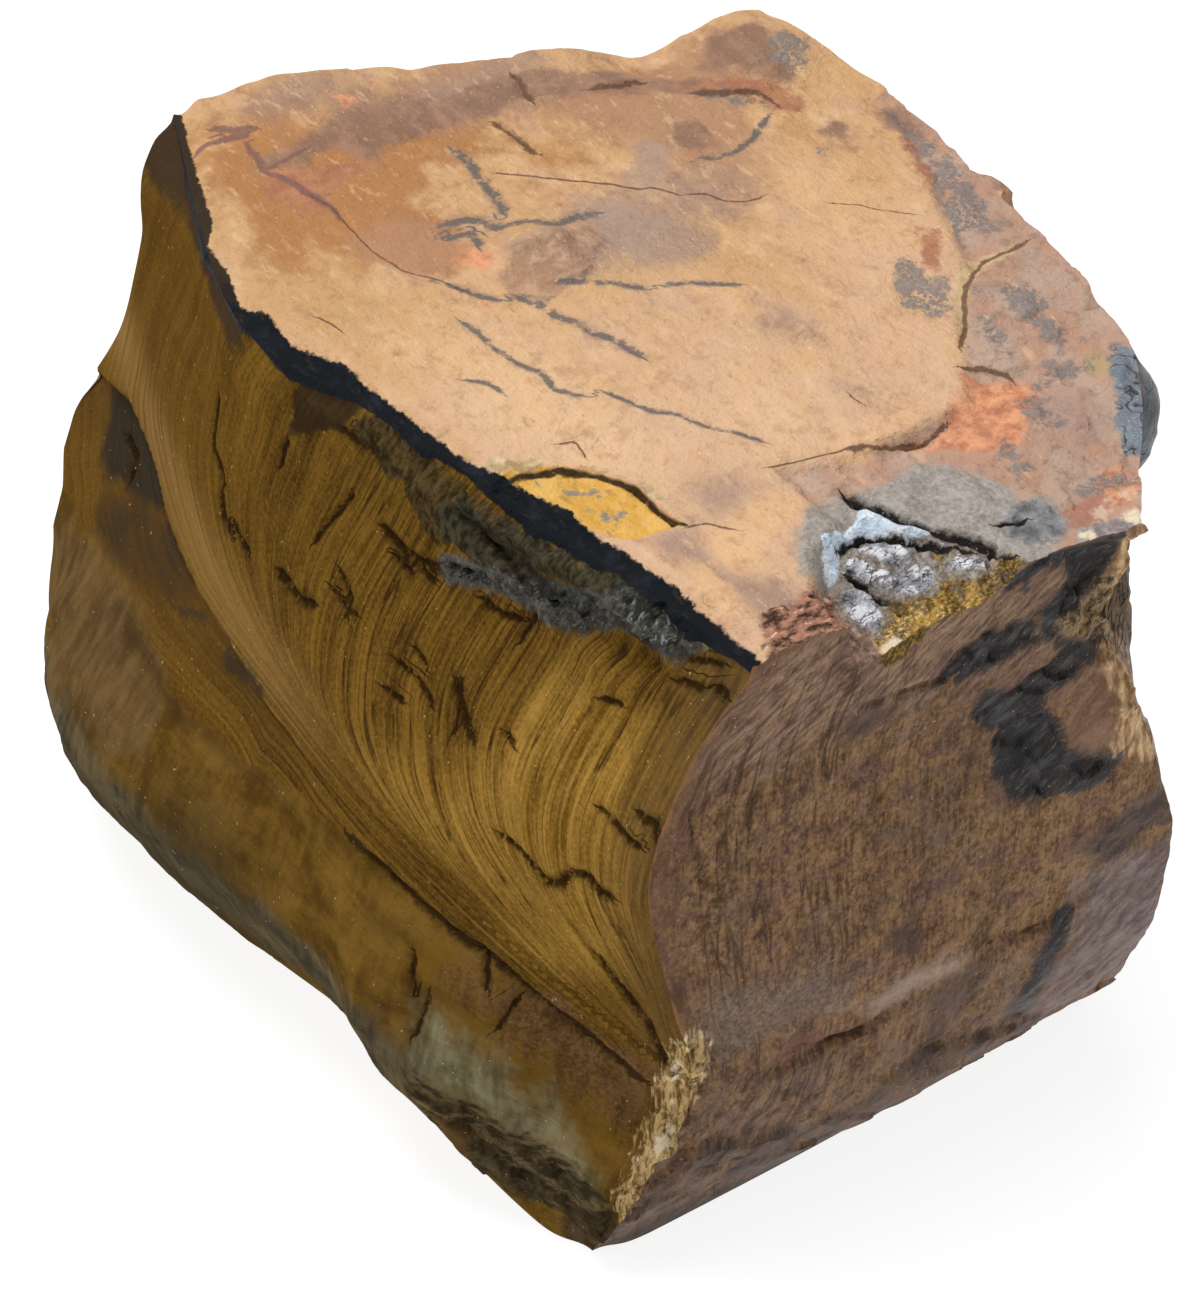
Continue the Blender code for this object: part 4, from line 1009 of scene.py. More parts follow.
def paint_top(points):
    x, y, _ = points.T
    upper = np.interp(x, *np.transpose(RIM_UPPER))
    out = {
        "rim": upper - y,
        "left": x + 34,
        "crust": inside(CRUST_EDGE, x, y),
        "flake": inside(FLAKE_WINDOW, x, y),
        "lips": union(FLAKE_LIPS, x, y),
        "specks": union(FLAKE_SPECKS, x, y),
        "wall": distance_to(FLAKE_WALL, x, y),
        "wall_side": trace(FLAKE_WALL, x, y)[1],
        "grey": inside(GREY_PATCH, x, y),
        "dark_lump": inside(DARK_LUMP, x, y),
        "strip": inside(GLOSSY_STRIP, x, y),
        "tail": inside(SILVER_TAIL, x, y),
        "brown_corner": inside(BROWN_CORNER, x, y),
        "flakes": union(SILVER_FLAKES, x, y),
        "druse": inside(DRUSE, x, y),
        "crystals": inside(CRYSTALS, x, y),
        "cream": np.max([r - np.hypot(x - a, y - b) for a, b, r in CREAM_SPOTS], axis=0),
        "umber": union(UMBER_PATCHES, x, y),
        "rust": union(RUST_PATCHES, x, y),
        "ember": union(FLAME_PATCHES, x, y),
        "slate": union(SLATE_PATCHES, x, y),
        "blush": union(BLUSH_PATCHES, x, y),
        "haze": union(HAZE_PATCHES, x, y),
        "lump_patch": inside(LUMP_PATCH, x, y),
        "tan_lip": inside(TAN_LIP, x, y),
        "mauve_crust": inside(MAUVE_CRUST, x, y),
        "tan_crust": inside(TAN_CRUST, x, y),
        "ring": inside(GLOSS_RING, x, y),
        "knob_facet": inside(KNOB_FACET, x, y),
        "corner_cream": inside(CORNER_CREAM, x, y),
        "corner_red": inside(CORNER_RED, x, y),
        "corner_grey": inside(CORNER_GREY, x, y),
        "ochre": soft_spots(OCHRE_SPOTS, x, y),
        "tan": soft_spots(TAN_SPOTS, x, y),
        "pale": soft_spots(PALE_SPOTS, x, y),
        "orange": soft_spots(ORANGE_SPOTS, x, y),
        "mauve": soft_spots(MAUVE_SPOTS, x, y),
        "reddish": soft_spots(REDDISH_SPOTS, x, y),
        "lump": crusty_lump(x, y),
        "back": y - 30 + 0.35 * x,
    }
    for name, rows in (("crack", TOP_CRACKS), ("vein", TOP_VEINS), ("red_vein", RED_VEINS),
                       ("slit", POCKET_CRACKS[::3]), ("gap", POCKET_CRACKS[1:3])):
        out[name], out[name + "_side"] = nearest_line(rows, x, y)
    return out


LIT_SPOTS = ((36, 55, 12, 9, 1.35), (26, 47, 14, 6, 0.6), (40, 44, 6, 8, 0.8),
             (33, 37.5, 7, 3, 0.5), (12, 46, 10, 4, 0.3), (38, 67, 9, 7, 0.7))
TOE_SHADE = ((-9, 23, 11, 8, 0.85), (-34, 12, 16, 9, 0.8), (-14, 8, 16, 7, 0.8),
             (12, 10, 12, 6, 0.6))


def paint_gold(points):
    x, _, z = points.T
    fibre = golden_fibre(x, z)
    above = golden_fibre(x, z + 0.5)
    beside = golden_fibre(x + 0.5, z)
    out = {
        "fibre": fibre,
        "crowd": np.hypot(above - fibre, beside - fibre) * 2,
        "rim": z - np.interp(x, *np.transpose(RIM_FOOT)),
        "brown_rim": inside(BROWN_RIM, x, z),
        "dark_lip": inside(DARK_LIP, x, z),
        "rubble_lip": inside(RUBBLE_LIP, x, z),
        "grey_lip": inside(GREY_LIP, x, z),
        "rough": inside(ROUGH_ZONE, x, z),
        "speckled": inside(SPECKLED, x, z),
        "fringe": inside(OLIVE_FRINGE, x, z),
        "facet": inside(BLUE_FACET, x, z),
        "patch": inside(FOLD_RECESS_SHADE, x, z),
        "recess_brown_shade": inside(FOLD_RECESS_BROWN, x, z),
        "recess_shade": union(FOLD_RECESS_SPOTS, x, z),
        "toe": np.interp(x, *np.transpose(LOWER_EDGE)) - z,
        "lobe": trace(LOBE_EDGE, x, z)[0],
        "fold_side": trace(FOLD_EDGE, x, z)[1],
        "olive_edge": inside(OLIVE_EDGE, x, z),
        "scallops": inside(SCALLOPS, x, z),
        "red_toe": inside(RED_TOE, x, z),
        "gold_toe": inside(GOLD_TOE, x, z),
        "pale_fray": inside(PALE_FRAY, x, z),
        "lilac": inside(LILAC_TOE, x, z),
        "green": inside(GREEN_TOE, x, z),
        "tip_facet": inside(TIP_FACETS, x, z),
        "tip_dark": union(TIP_DARK, x, z),
        "painted_sheen": bell(distance_to(SHEEN_BAND, x, z), 3.2),
        "lit": soft_spots(LIT_SPOTS, x, z),
        "toe_shade": soft_spots(TOE_SHADE, x, z),
        "arris": off_rib(RIB_ARRIS, points),
    }
    ridge_rows = [(0.35, row[0]) for row in TOE_LEDGES[:3]]
    for name, rows in (("chip", GOLD_CHIPS), ("crack", ((0.55, CREASE_CRACK),)),
                       ("ridge", ridge_rows)):
        out[name], out[name + "_side"] = nearest_line(rows, x, z)
    return out


def paint_brown(points):
    _, y, z = points.T
    out = {
        "fibre": brown_fibre(y, z),
        "blue": union((BLUE_SLASH, BLUE_PATCH, BLUE_BAND, BLUE_STREAK), y, z),
        "blue_edge": inside(BLUE_EDGE, y, z),
        "bruise": union(BRUISES, y, z),
        "olive": inside(OLIVE_ROUGH, y, z),
        "peach": inside(PEACH, y, z),
        "golden": inside(GOLDEN_EDGE, y, z),
        "green": inside(GREEN_BROWN, y, z),
        "pale": inside(PALE_BROWN, y, z),
        "lilac": inside(LILAC_SHEEN_ZONE, y, z),
        "red": inside(RED_BROWN, y, z),
        "pale_fray": inside(PALE_FRAY_SIDE, y, z),
        "foot": inside(DARK_FOOT, y, z),
        "arris": off_rib(RIB_ARRIS, points),
        "upper": z - HEIGHT,
        "druse": inside(DRUSE_SIDE, y, z),
    }
    out["crack"], out["crack_side"] = nearest_line(BROWN_CRACKS, y, z)
    return out


def paint_hidden(points):
    x, y, z = points.T
    return {"fibre": x + y + 0.16 * z,
            "knob": 7 - np.linalg.norm(points - KNOB, axis=1),
            "golden": 7 - off_rib(RIB_RIGHT, points)}


PAINTERS = (paint_top, paint_gold, paint_brown, paint_hidden, paint_hidden, paint_hidden)
CHARTS = (  # where each side's part of the bake map starts, and its size
    (0.005, 0.52, 0.475, 0.475), (0.50, 0.52, 0.495, 0.475), (0.005, 0.08, 0.30, 0.425),
    (0.32, 0.08, 0.33, 0.425), (0.665, 0.08, 0.33, 0.425), (0.005, 0.005, 0.07, 0.07))


def paint(mesh, points, share, owners):
    """Each side's own values, held at the corners of its faces, and the bake map."""
    loops = np.empty(len(mesh.loops), int)
    mesh.loops.foreach_get("vertex_index", loops)
    sizes = np.empty(len(mesh.polygons), int)
    mesh.polygons.foreach_get("loop_total", sizes)
    owner = np.repeat(owners, sizes)
    layers = {}
    chart = np.zeros((len(loops), 2))
    for number, painter in enumerate(PAINTERS):
        mask = owner == number
        vertices, back = np.unique(loops[mask], return_inverse=True)
        for name, values in painter(points[vertices]).items():
            layers.setdefault(name, np.zeros(len(loops)))[mask] = values[back]
        x, y, width, height = CHARTS[number]
        if number < BASE:
            _, _, _, first, second, _ = SIDES[number]
            pair = share[vertices][:, (first, second)]
            pair = pair if first < second else pair[:, ::-1] * (-1, 1) + (1, 0)
        else:
            pair = share[vertices][:, :2]
        chart[mask] = (pair * (width, height) + (x, y))[back]
    for name, values in layers.items():
        layer = mesh.attributes.new(name, "FLOAT", "CORNER")
        layer.data.foreach_set("value", values.astype(np.float32))
    uv = mesh.uv_layers.new(name="OFBake")
    uv.uv.foreach_set("vector", chart.astype(np.float32).ravel())


# ------------------------------------------------------------------ materials

EDGE_GRAINS = (0.9, 1.8, 3.2)


class Value:
    """A number or colour that a node gives; sums, products and abs() add a node each."""

    def __init__(self, stone, socket):
        self.stone = stone
        self.socket = socket

    def __add__(self, other):
        return self.stone.math("ADD", self, other)

    def __radd__(self, other):
        return self.stone.math("ADD", other, self)

    def __mul__(self, other):
        return self.stone.math("MULTIPLY", self, other)

    def __abs__(self):
        return self.stone.math("ABSOLUTE", self)


class Stone:
    """Builds one material: values and masks as nodes, laid one over the other as coats."""

    def __init__(self, name):
        self.material = bpy.data.materials.new(name)
        self.material.use_nodes = True
        self.tree = self.material.node_tree
        self.shader = self.tree.nodes["Principled BSDF"]
        self.fields = {}
        self.edges = {}
        place = Value(self, self.add("ShaderNodeTexCoord").outputs["Object"])
        self.place = self.vector("SCALE", place, Scale=1 / MM)
        self.colour = None
        self.roughness = None
        self.shine = None
        self.height = None

    def add(self, kind, **settings):
        node = self.tree.nodes.new(kind)
        for key, value in settings.items():
            setattr(node, key, value)
        return node

    def feed(self, socket, value):
        if isinstance(value, Value):
            self.tree.links.new(value.socket, socket)
        elif socket.type == "RGBA":
            socket.default_value = (*value, 1)
        else:
            socket.default_value = value

    def vector(self, operation, *values, **named):
        node = self.add("ShaderNodeVectorMath", operation=operation)
        for socket, value in zip(node.inputs, values):
            self.feed(socket, value)
        for name, value in named.items():
            self.feed(node.inputs[name], value)
        return Value(self, node.outputs["Vector"])

    def math(self, operation, *values):
        node = self.add("ShaderNodeMath", operation=operation)
        for socket, value in zip(node.inputs, values):
            self.feed(socket, value)
        return Value(self, node.outputs[0])

    def field(self, name):
        if name not in self.fields:
            node = self.add("ShaderNodeAttribute", attribute_name=name)
            self.fields[name] = Value(self, node.outputs["Fac"])
        return self.fields[name]

    def noise(self, size, detail=2.0, rough=0.5, seed=0, place=None, warp=0.0):
        """Noise of about -1 to 1. size is its grain in mm, or one for each axis."""
        sizes = size if isinstance(size, tuple) else (size,) * 3
        scaled = self.vector("MULTIPLY_ADD", place or self.place,
                             tuple(1 / s for s in sizes), (seed * 7.31, seed * -3.77, seed * 5.13))
        node = self.add("ShaderNodeTexNoise")
        for name, value in (("Vector", scaled), ("Scale", 1.0), ("Detail", detail),
                            ("Roughness", rough), ("Distortion", warp)):
            self.feed(node.inputs[name], value)
        return self.math("MULTIPLY_ADD", Value(self, node.outputs["Fac"]), 3.0, -1.5)

    def ramp(self, value, low, high):
        """0 where value is low, 1 where it is high, smooth between."""
        node = self.add("ShaderNodeMapRange", interpolation_type="SMOOTHSTEP")
        start, end, flip = (low, high, False) if low < high else (high, low, True)
        for name, number in (("Value", value), ("From Min", start), ("From Max", end),
                             ("To Min", 1.0 if flip else 0.0), ("To Max", 0.0 if flip else 1.0)):
            self.feed(node.inputs[name], number)
        return Value(self, node.outputs["Result"])

    def blend(self, share, under, over):
        """Mixes two colours or two numbers."""
        number = not (isinstance(over, tuple)
                      or isinstance(over, Value) and over.socket.type == "RGBA")
        node = self.add("ShaderNodeMix", data_type="FLOAT" if number else "RGBA")
        shift = 2 if number else 6
        self.feed(node.inputs[0], share)
        self.feed(node.inputs[shift], under)
        self.feed(node.inputs[shift + 1], over)
        return Value(self, node.outputs[0 if number else 2])

    def tint(self, value, low, high, under, over):
        """Under where value is low, over where it is high."""
        return self.blend(self.ramp(value, low, high), under, over)

    def edge(self, size):
        """Noise that makes edges uneven. Edges of about one size share it."""
        grain = min(EDGE_GRAINS, key=lambda known: abs(known - size))
        if grain not in self.edges:
            self.edges[grain] = self.noise(grain, 3, 0.62, 70 + grain)
        return self.edges[grain]

    def zone(self, name, soft=0.3, wobble=0.0, size=2.0):
        """Mask of an outline's inside, its edge made uneven by noise."""
        value = self.field(name)
        if wobble:
            value = value + self.edge(size) * wobble
        return self.ramp(value, -soft, soft)

    def line(self, name, width, reach=0.9, wobble=0.15, size=1.2):
        """Mask of a thin line: half its width, and how far it may wander."""
        offset = self.edge(size) * wobble
        off = abs(self.field(name + "_side") + offset)
        off = off + self.edge(EDGE_GRAINS[0]) * 0.45
        thin = self.ramp(off, width * 1.3, width * 0.5)
        return thin * self.ramp(self.field(name), reach, reach * 0.6)

    def lay(self, mask, colour, roughness=None, shine=None):
        """Lays a coat over what is there, by its mask."""
        self.colour = self.blend(mask, self.colour, colour)
        if roughness is not None:
            self.roughness = self.blend(mask, self.roughness, roughness)
        if shine is not None:
            self.shine = self.blend(mask, self.shine, shine)

    def finish(self, bump=1.0):
        self.feed(self.shader.inputs["Base Color"], self.colour)
        self.feed(self.shader.inputs["Roughness"], self.roughness)
        self.feed(self.shader.inputs["Specular IOR Level"], self.shine)
        node = self.add("ShaderNodeBump")
        for name, value in (("Strength", bump), ("Distance", MM), ("Height", self.height)):
            self.feed(node.inputs[name], value)
        self.feed(self.shader.inputs["Normal"], Value(self, node.outputs["Normal"]))
        return self.material


TAN = (0.63, 0.360, 0.165)
TAN_PINK = (0.70, 0.425, 0.225)
TAN_PALE = (0.86, 0.56, 0.31)
TAN_DULL = (0.49, 0.28, 0.130)
OCHRE = (0.46, 0.205, 0.070)
ORANGE = (0.82, 0.50, 0.26)
REDDISH = (0.44, 0.235, 0.135)
MAUVE = (0.37, 0.245, 0.20)
UMBER = (0.26, 0.145, 0.095)
RUST = (0.39, 0.155, 0.085)
VEIN = (0.15, 0.125, 0.115)
RED_VEIN = (0.23, 0.115, 0.095)
CRACK = (0.15, 0.075, 0.045)
YELLOW = (0.70, 0.37, 0.058)
YELLOW_PALE = (0.82, 0.49, 0.125)
INK = (0.012, 0.010, 0.009)
RIM_BLACK = (0.009, 0.011, 0.014)
RIM_BLUE = (0.021, 0.026, 0.036)
RIM_BROWN = (0.045, 0.030, 0.020)
CREAM = (0.88, 0.75, 0.55)
# Painted reflection: the bright blue-white of the glossy strip.
STRIP_REFLECTION = (0.60, 0.73, 0.88)
STRIP_REFLECTION_PALE = (0.84, 0.91, 0.97)
DRUSE_GOLD = (0.46, 0.260, 0.036)
DRUSE_DARK = (0.09, 0.052, 0.012)


def coordinate(s, x, y, z):
    """A place to read noise from, made of the named parts of s.place or of fields."""
    join = s.add("ShaderNodeCombineXYZ")
    for socket, value in zip(join.inputs, (x, y, z)):
        s.feed(socket, value)
    return Value(s, join.outputs[0])


def split(s):
    """The place's own axes, in mm."""
    node = s.add("ShaderNodeSeparateXYZ")
    s.feed(node.inputs[0], s.place)
    return {axis: Value(s, node.outputs[axis]) for axis in "XYZ"}


def colour_patches(s, blotch, mottle, smear):
    """The stained patches, the crusty lump and the red veins of the seam wall."""
    s.lay(s.zone("haze", 1.2, 1.8, 3.2) * 0.75, s.tint(mottle, -0.5, 0.6, (0.36, 0.25, 0.2),
          (0.47, 0.33, 0.25)))
    s.lay(s.zone("blush", 1.0, 1.8, 3.2) * 0.8, (0.49, 0.245, 0.13))
    s.lay(s.zone("umber", 0.9, 2.0, 3.2) * 0.88, s.tint(mottle + smear, -0.5, 0.8, UMBER,
          (0.38, 0.215, 0.14)))
    s.lay(s.zone("rust", 0.6, 1.6, 1.8) * 0.9, s.tint(mottle, -0.5, 0.6, RUST,
          (0.52, 0.24, 0.12)))
    s.lay(s.zone("tan_lip", 0.3, 0.6, 0.9) * 0.9, s.tint(mottle, -0.4, 0.5, (0.52, 0.37, 0.19),
          (0.7, 0.5, 0.28)))
    patch = s.zone("lump_patch", 0.8, 1.4, 1.8)
    s.lay(patch * 0.75, s.tint(mottle, -0.4, 0.4, (0.36, 0.195, 0.125), (0.56, 0.345, 0.215)),
          0.62)
    s.lay(s.ramp(abs(s.field("lump_patch") + blotch * 1.5), 0.5, 0.1) * s.ramp(mottle, -0.2,
          0.4) * 0.7, (0.16, 0.12, 0.1))
    lump = s.ramp(s.field("lump") + mottle * 0.3, 0.3, 0.8)
    s.lay(lump * s.ramp(mottle, 0.0, 0.5) * 0.6, (0.66, 0.4, 0.25), 0.65)
    s.lay(s.zone("ring", 1.0, 1.6, 2.5) * 0.75, (0.42, 0.255, 0.165), 0.28, 0.6)
    s.lay(s.line("red_vein", 1.0, 1.4, 0.8, 1.6) * 0.85, RED_VEIN)


def flake_window(s, mottle, smear):
    """The yellow window where a flake has come off, the lips round it, and painted shade on the
    wall under its ledge.
    """
    flake = s.zone("flake", 0.15, 0.25, 1.5)
    s.lay(flake, s.tint(smear + mottle, -0.6, 0.6, YELLOW, YELLOW_PALE), 0.5)
    s.lay(flake * s.ramp(s.noise((1.6, 0.8, 1), 3, 0.6, 20), 0.2, 0.6) * 0.7,
          (0.45, 0.24, 0.06))
    s.lay(s.zone("specks", 0.5, 1.6, 0.9) * 0.85, (0.22, 0.215, 0.22))
    s.lay(flake * s.ramp(s.noise((1.4, 0.7, 1), 3, 0.65, 46), 0.35, 0.6) * 0.8,
          (0.25, 0.24, 0.24))
    s.lay(s.zone("lips", 0.25, 0.6, 1.0) * 0.9, s.tint(mottle, -0.4, 0.5, (0.4, 0.255, 0.105),
          (0.78, 0.6, 0.36)))
    # Painted shade: the wall under the window's ledge is painted dark brown.
    wall = s.ramp(s.field("wall") + mottle * 0.25, 0.6, 0.25) * s.ramp(s.field("wall_side"),
                                                                       0.15, -0.05)
    s.lay(wall, (0.055, 0.030, 0.010), 0.7)


def pocket_coats(s, broad, mottle, grain):
    """The silver pocket: grey skin, the glossy strip with a painted reflection, flakes with
    painted shade between them, golden druse, brown crystals and the knob's facet with a painted
    sheen.
    """
    axes = split(s)
    grey = s.zone("grey", 0.9, 1.0, 2.4)
    greyish = s.tint(mottle + grain, -0.8, 0.9, (0.27, 0.245, 0.215), (0.47, 0.435, 0.4))
    s.lay(grey * 0.94, greyish, 0.42)
    s.lay(grey * s.ramp(broad + mottle * 0.8, 0.2, 0.9) * 0.5, (0.4, 0.25, 0.16))
    s.lay(s.zone("dark_lump", 0.5, 0.8, 0.9) * 0.85, s.tint(mottle, -0.5, 0.5,
          (0.1, 0.105, 0.11), (0.27, 0.28, 0.3)), 0.35, 0.3)
    druse = s.zone("druse", 0.3, 0.5, 1.2)
    seeds = s.noise((0.34, 0.50, 0.34), 3, 0.66, 25)
    deep = s.ramp(axes["X"] + mottle * 0.8 + axes["Y"] * -0.35, 51.0, 53.4)
    s.lay(druse, s.tint(seeds + mottle * 0.7 + deep * 0.25, -0.25, 0.65, DRUSE_DARK,
          DRUSE_GOLD), 0.35, 0.3)
    s.lay(druse * s.ramp(seeds + deep * 0.4, 0.5, 0.9) * 0.65, (0.88, 0.68, 0.32), 0.3)
    crystals = s.zone("crystals", 0.4, 0.9, 1.4)
    lumps = s.noise((0.9, 1.8, 1.2), 3, 0.6, 27)
    s.lay(crystals, s.tint(lumps, -0.35, 0.25, (0.05, 0.022, 0.014), (0.45, 0.215, 0.135)), 0.5)
    s.lay(crystals * s.ramp(lumps, 0.35, 0.6), (0.84, 0.66, 0.5), 0.35)
    flakes = s.zone("flakes", 0.2, 0.5, 1.1)
    hollow = s.ramp(s.field("flakes") + mottle * 0.3, -1.1, -0.5)
    s.lay(hollow * 0.9, s.tint(grain, -0.5, 0.6, (0.14, 0.115, 0.095), (0.44, 0.38, 0.31)))
    layered = s.noise((0.5, 1.5, 1), 3, 0.66, 30)
    plates = s.noise((1.5, 2.6, 1), 2, 0.5, 48)
    s.lay(flakes, s.tint(plates + layered * 0.45, -0.45, 0.5, (0.2, 0.2, 0.225),
          (0.76, 0.76, 0.8)), 0.3, 0.5)
    # Painted shade: dark lines in the gaps between the flake plates.
    s.lay(flakes * s.ramp(abs(s.noise((0.9, 2.4, 1), 2, 0.6, 31)), 0.12, 0.03) * 0.9,
          (0.045, 0.04, 0.038))
    s.lay(flakes * s.ramp(layered, 0.45, 0.75) * 0.85, (0.92, 0.94, 0.97), 0.25)
    tail = s.zone("tail", 0.2, 0.5, 0.9)
    s.lay(tail * 0.9, s.tint(grain + mottle, 0.1, 0.7, (0.19, 0.155, 0.12), (0.62, 0.7, 0.78)),
          0.4)
    # Painted reflection: the glossy strip is coloured bright blue-white as if it reflected the
    # lights.
    strip = s.zone("strip", 0.12, 0.35, 0.9)
    s.lay(strip, s.tint(mottle + grain * 0.5, -0.5, 0.5, STRIP_REFLECTION, STRIP_REFLECTION_PALE), 0.25, 0.5)
    s.lay(s.line("slit", 1.0, 1.5, 0.30, 1.5), INK, 0.8)
    s.lay(s.line("gap", 1.0, 1.0, 0.30, 0.9), INK, 0.8)
    s.lay(s.zone("corner_red", 0.4, 1.0, 1.5) * 0.85, (0.42, 0.19, 0.13))
    s.lay(s.zone("corner_cream", 0.4, 1.0, 1.5) * s.ramp(mottle, -0.2, 0.5) * 0.8,
          (0.72, 0.54, 0.4))
    s.lay(s.zone("corner_grey", 0.3, 0.8, 1.5) * 0.85, s.tint(mottle, -0.4, 0.4,
          (0.2, 0.19, 0.2), (0.45, 0.42, 0.42)))
    # Painted sheen: the knob's facet is dark brown with a blue-grey painted sheen.
    s.lay(s.zone("knob_facet", 0.4, 0.8, 1.5) * 0.95, s.tint(mottle, 0.2, 0.7,
          (0.16, 0.205, 0.25), (0.11, 0.08, 0.055)), 0.3, 0.5)
    facet_edge = s.ramp(abs(s.noise(3.4, 2, 0.6, 49)), 0.07, 0.02)
    s.lay(s.zone("knob_facet", 0.4, 0.8, 1.5) * facet_edge * 0.9, (0.03, 0.024, 0.018))
    # Painted glints: small pale grey specks on the knob's facet.
    s.lay(s.zone("knob_facet", 0.4, 0.8, 1.5) * s.ramp(grain, 0.55, 0.8) * 0.7,
          (0.7, 0.72, 0.74))
    s.lay(s.zone("brown_corner", 0.3, 0.6, 0.9), s.tint(mottle + grain, -0.7, 0.7,
          (0.115, 0.065, 0.045), (0.33, 0.205, 0.15)))
    cream = s.ramp(s.field("cream") + mottle * 0.7, -0.2, 0.5)
    s.lay(cream * 0.9, CREAM)


def seam_wall(pocket):
    """The seam wall; the part of it round the silver pocket has the pocket's coats too."""
    s = Stone("silver_pocket" if pocket else "seam_wall")
    broad = s.noise((17, 12, 9), 3, 0.6, 1)
    blotch = s.noise((7, 4.5, 5), 3, 0.62, 2)
    mottle = s.noise(2.0, 3, 0.65, 3)
    grain = s.noise(0.5, 3, 0.65, 4)
    smear = s.noise((9, 2.2, 4), 3, 0.62, 5)

    def soft(name, strength, low, high, colour, mix=0.45, roughness=None):
        value = s.field(name) + blotch * mix + mottle * (mix * 0.5)
        mask = s.ramp(value, low, high) * s.ramp(s.field(name), 0.03, 0.4) * strength
        s.lay(mask, colour, roughness)

    s.shine = 0.16
    s.colour = s.tint(broad + smear * 0.5, -0.55, 0.55, TAN, TAN_PINK)
    s.roughness = 0.5 + mottle * 0.1
    s.lay(s.ramp(smear + mottle * 0.5, -0.1, 0.9) * 0.6, TAN_DULL)
    s.lay(s.ramp(blotch * -1.0 + mottle * 0.5, 0.0, 0.9) * 0.6, TAN_PALE)
    golden = s.noise((8, 5, 5), 3, 0.6, 45)
    axes = split(s)
    right = s.ramp(axes["X"] + broad * 10, -8, 22)
    s.lay(right * 0.6, (0.77, 0.5, 0.335))
    s.lay(s.ramp(golden, 0.05, 0.6) * 0.45, (0.7, 0.415, 0.165))
    s.lay(s.ramp(golden, -0.1, -0.6) * 0.5, (0.6, 0.37, 0.26))
    soft("pale", 0.60, 0.1, 1.1, TAN_PALE)
    soft("tan", 0.35, 0.1, 0.9, (0.64, 0.385, 0.165))
    soft("ochre", 0.95, 0.05, 0.6, OCHRE)
    soft("reddish", 0.80, 0.1, 0.9, REDDISH)
    soft("mauve", 0.78, 0.1, 1.0, MAUVE)
    soft("orange", 0.80, 0.15, 0.9, ORANGE)
    s.lay(s.ramp(mottle + blotch * 0.4, 0.0, 0.7) * 0.42, (0.4, 0.2, 0.1))
    strokes = s.noise((3.2, 1.2, 2), 3, 0.68, 40)
    s.lay(s.ramp(strokes, 0.15, 0.6) * 0.42, (0.84, 0.57, 0.33))
    s.lay(s.ramp(strokes, -0.2, -0.7) * 0.4, (0.42, 0.235, 0.135))
    crust = s.zone("crust", 0.5, 1.3, 3.0)
    crusty = s.tint(blotch, -0.4, 0.4, (0.49, 0.275, 0.19), (0.5, 0.36, 0.285))
    crusty = s.tint(mottle, 0.1, 0.6, crusty, (0.34, 0.215, 0.165))
    crusty = s.tint(smear, 0.25, 0.7, crusty, (0.7, 0.43, 0.28))
    s.lay(crust * 0.88, crusty, 0.62)
    s.lay(s.zone("tan_crust", 0.6, 1.2, 2.0) * 0.9, (0.5, 0.35, 0.19))
    s.lay(s.zone("mauve_crust", 1.0, 1.8, 2.5) * 0.6, (0.42, 0.27, 0.22))
    s.lay(s.zone("ember", 0.6, 1.6, 1.8) * 0.92, s.tint(mottle, -0.5, 0.4, (0.51, 0.195, 0.105),
          (0.86, 0.385, 0.2)), 0.6)
    if not pocket:
        colour_patches(s, blotch, mottle, smear)
    s.lay(s.zone("slate", 0.5, 1.8, 1.8) * s.ramp(mottle + grain, -0.7, 0.15) * 0.88,
          s.tint(mottle, -0.4, 0.6, (0.16, 0.15, 0.15), (0.29, 0.245, 0.225)), 0.48)
    s.lay(s.line("vein", 1.9, 2.2, 1.2, 1.6) * s.ramp(mottle, -0.5, 0.3) * 0.55,
          (0.3, 0.225, 0.17))
    s.lay(s.line("vein", 1.1, 1.6, 1.1, 1.3) * s.ramp(mottle, -0.6, 0.0) * 0.88, VEIN, 0.45)
    hair = abs(s.noise(9, 3, 0.6, 16))
    s.lay(s.ramp(hair, 0.03, 0.006) * s.ramp(blotch, 0.1, 0.6) * 0.25, CRACK)
    flecks = s.noise((1.5, 0.6, 1), 3, 0.65, 17)
    s.lay(s.ramp(flecks, 0.45, 0.7) * s.ramp(broad, 0.4, -0.4) * 0.6, (0.93, 0.67, 0.42))
    s.lay(s.ramp(flecks, -0.45, -0.75) * s.ramp(smear, -0.3, 0.4) * 0.65, (0.38, 0.165, 0.09))
    if not pocket:
        flake_window(s, mottle, smear)
    s.lay(s.line("crack", 1.0, 1.3, 0.9, 1.4) * s.ramp(blotch, -1.3, -0.5) * 0.88, CRACK)
    if pocket:
        pocket_coats(s, broad, mottle, grain)
    rim = s.zone("rim", 0.15, 0.35, 1.2)
    dark = s.tint(mottle, -0.1, 0.9, RIM_BLACK, RIM_BLUE)
    dark = s.tint(s.field("left") + blotch * 6, 12, 4, dark, RIM_BROWN)
    s.lay(rim, dark, 0.50, 0.04)
    s.lay(rim * s.ramp(s.noise((2.5, 1.2, 1.5), 3, 0.65, 47), 0.15, 0.7) * 0.55,
          (0.06, 0.043, 0.026))
    s.lay(s.ramp(grain, 0.3, 0.8) * s.ramp(rim, 0.5, 0.0) * 0.4, (0.87, 0.62, 0.42))
    s.lay(s.ramp(grain, -0.35, -0.8) * s.ramp(rim, 0.5, 0.0) * 0.45, UMBER)
    s.height = grain * 0.06 + mottle * 0.16 + smear * 0.05
    return s.finish()


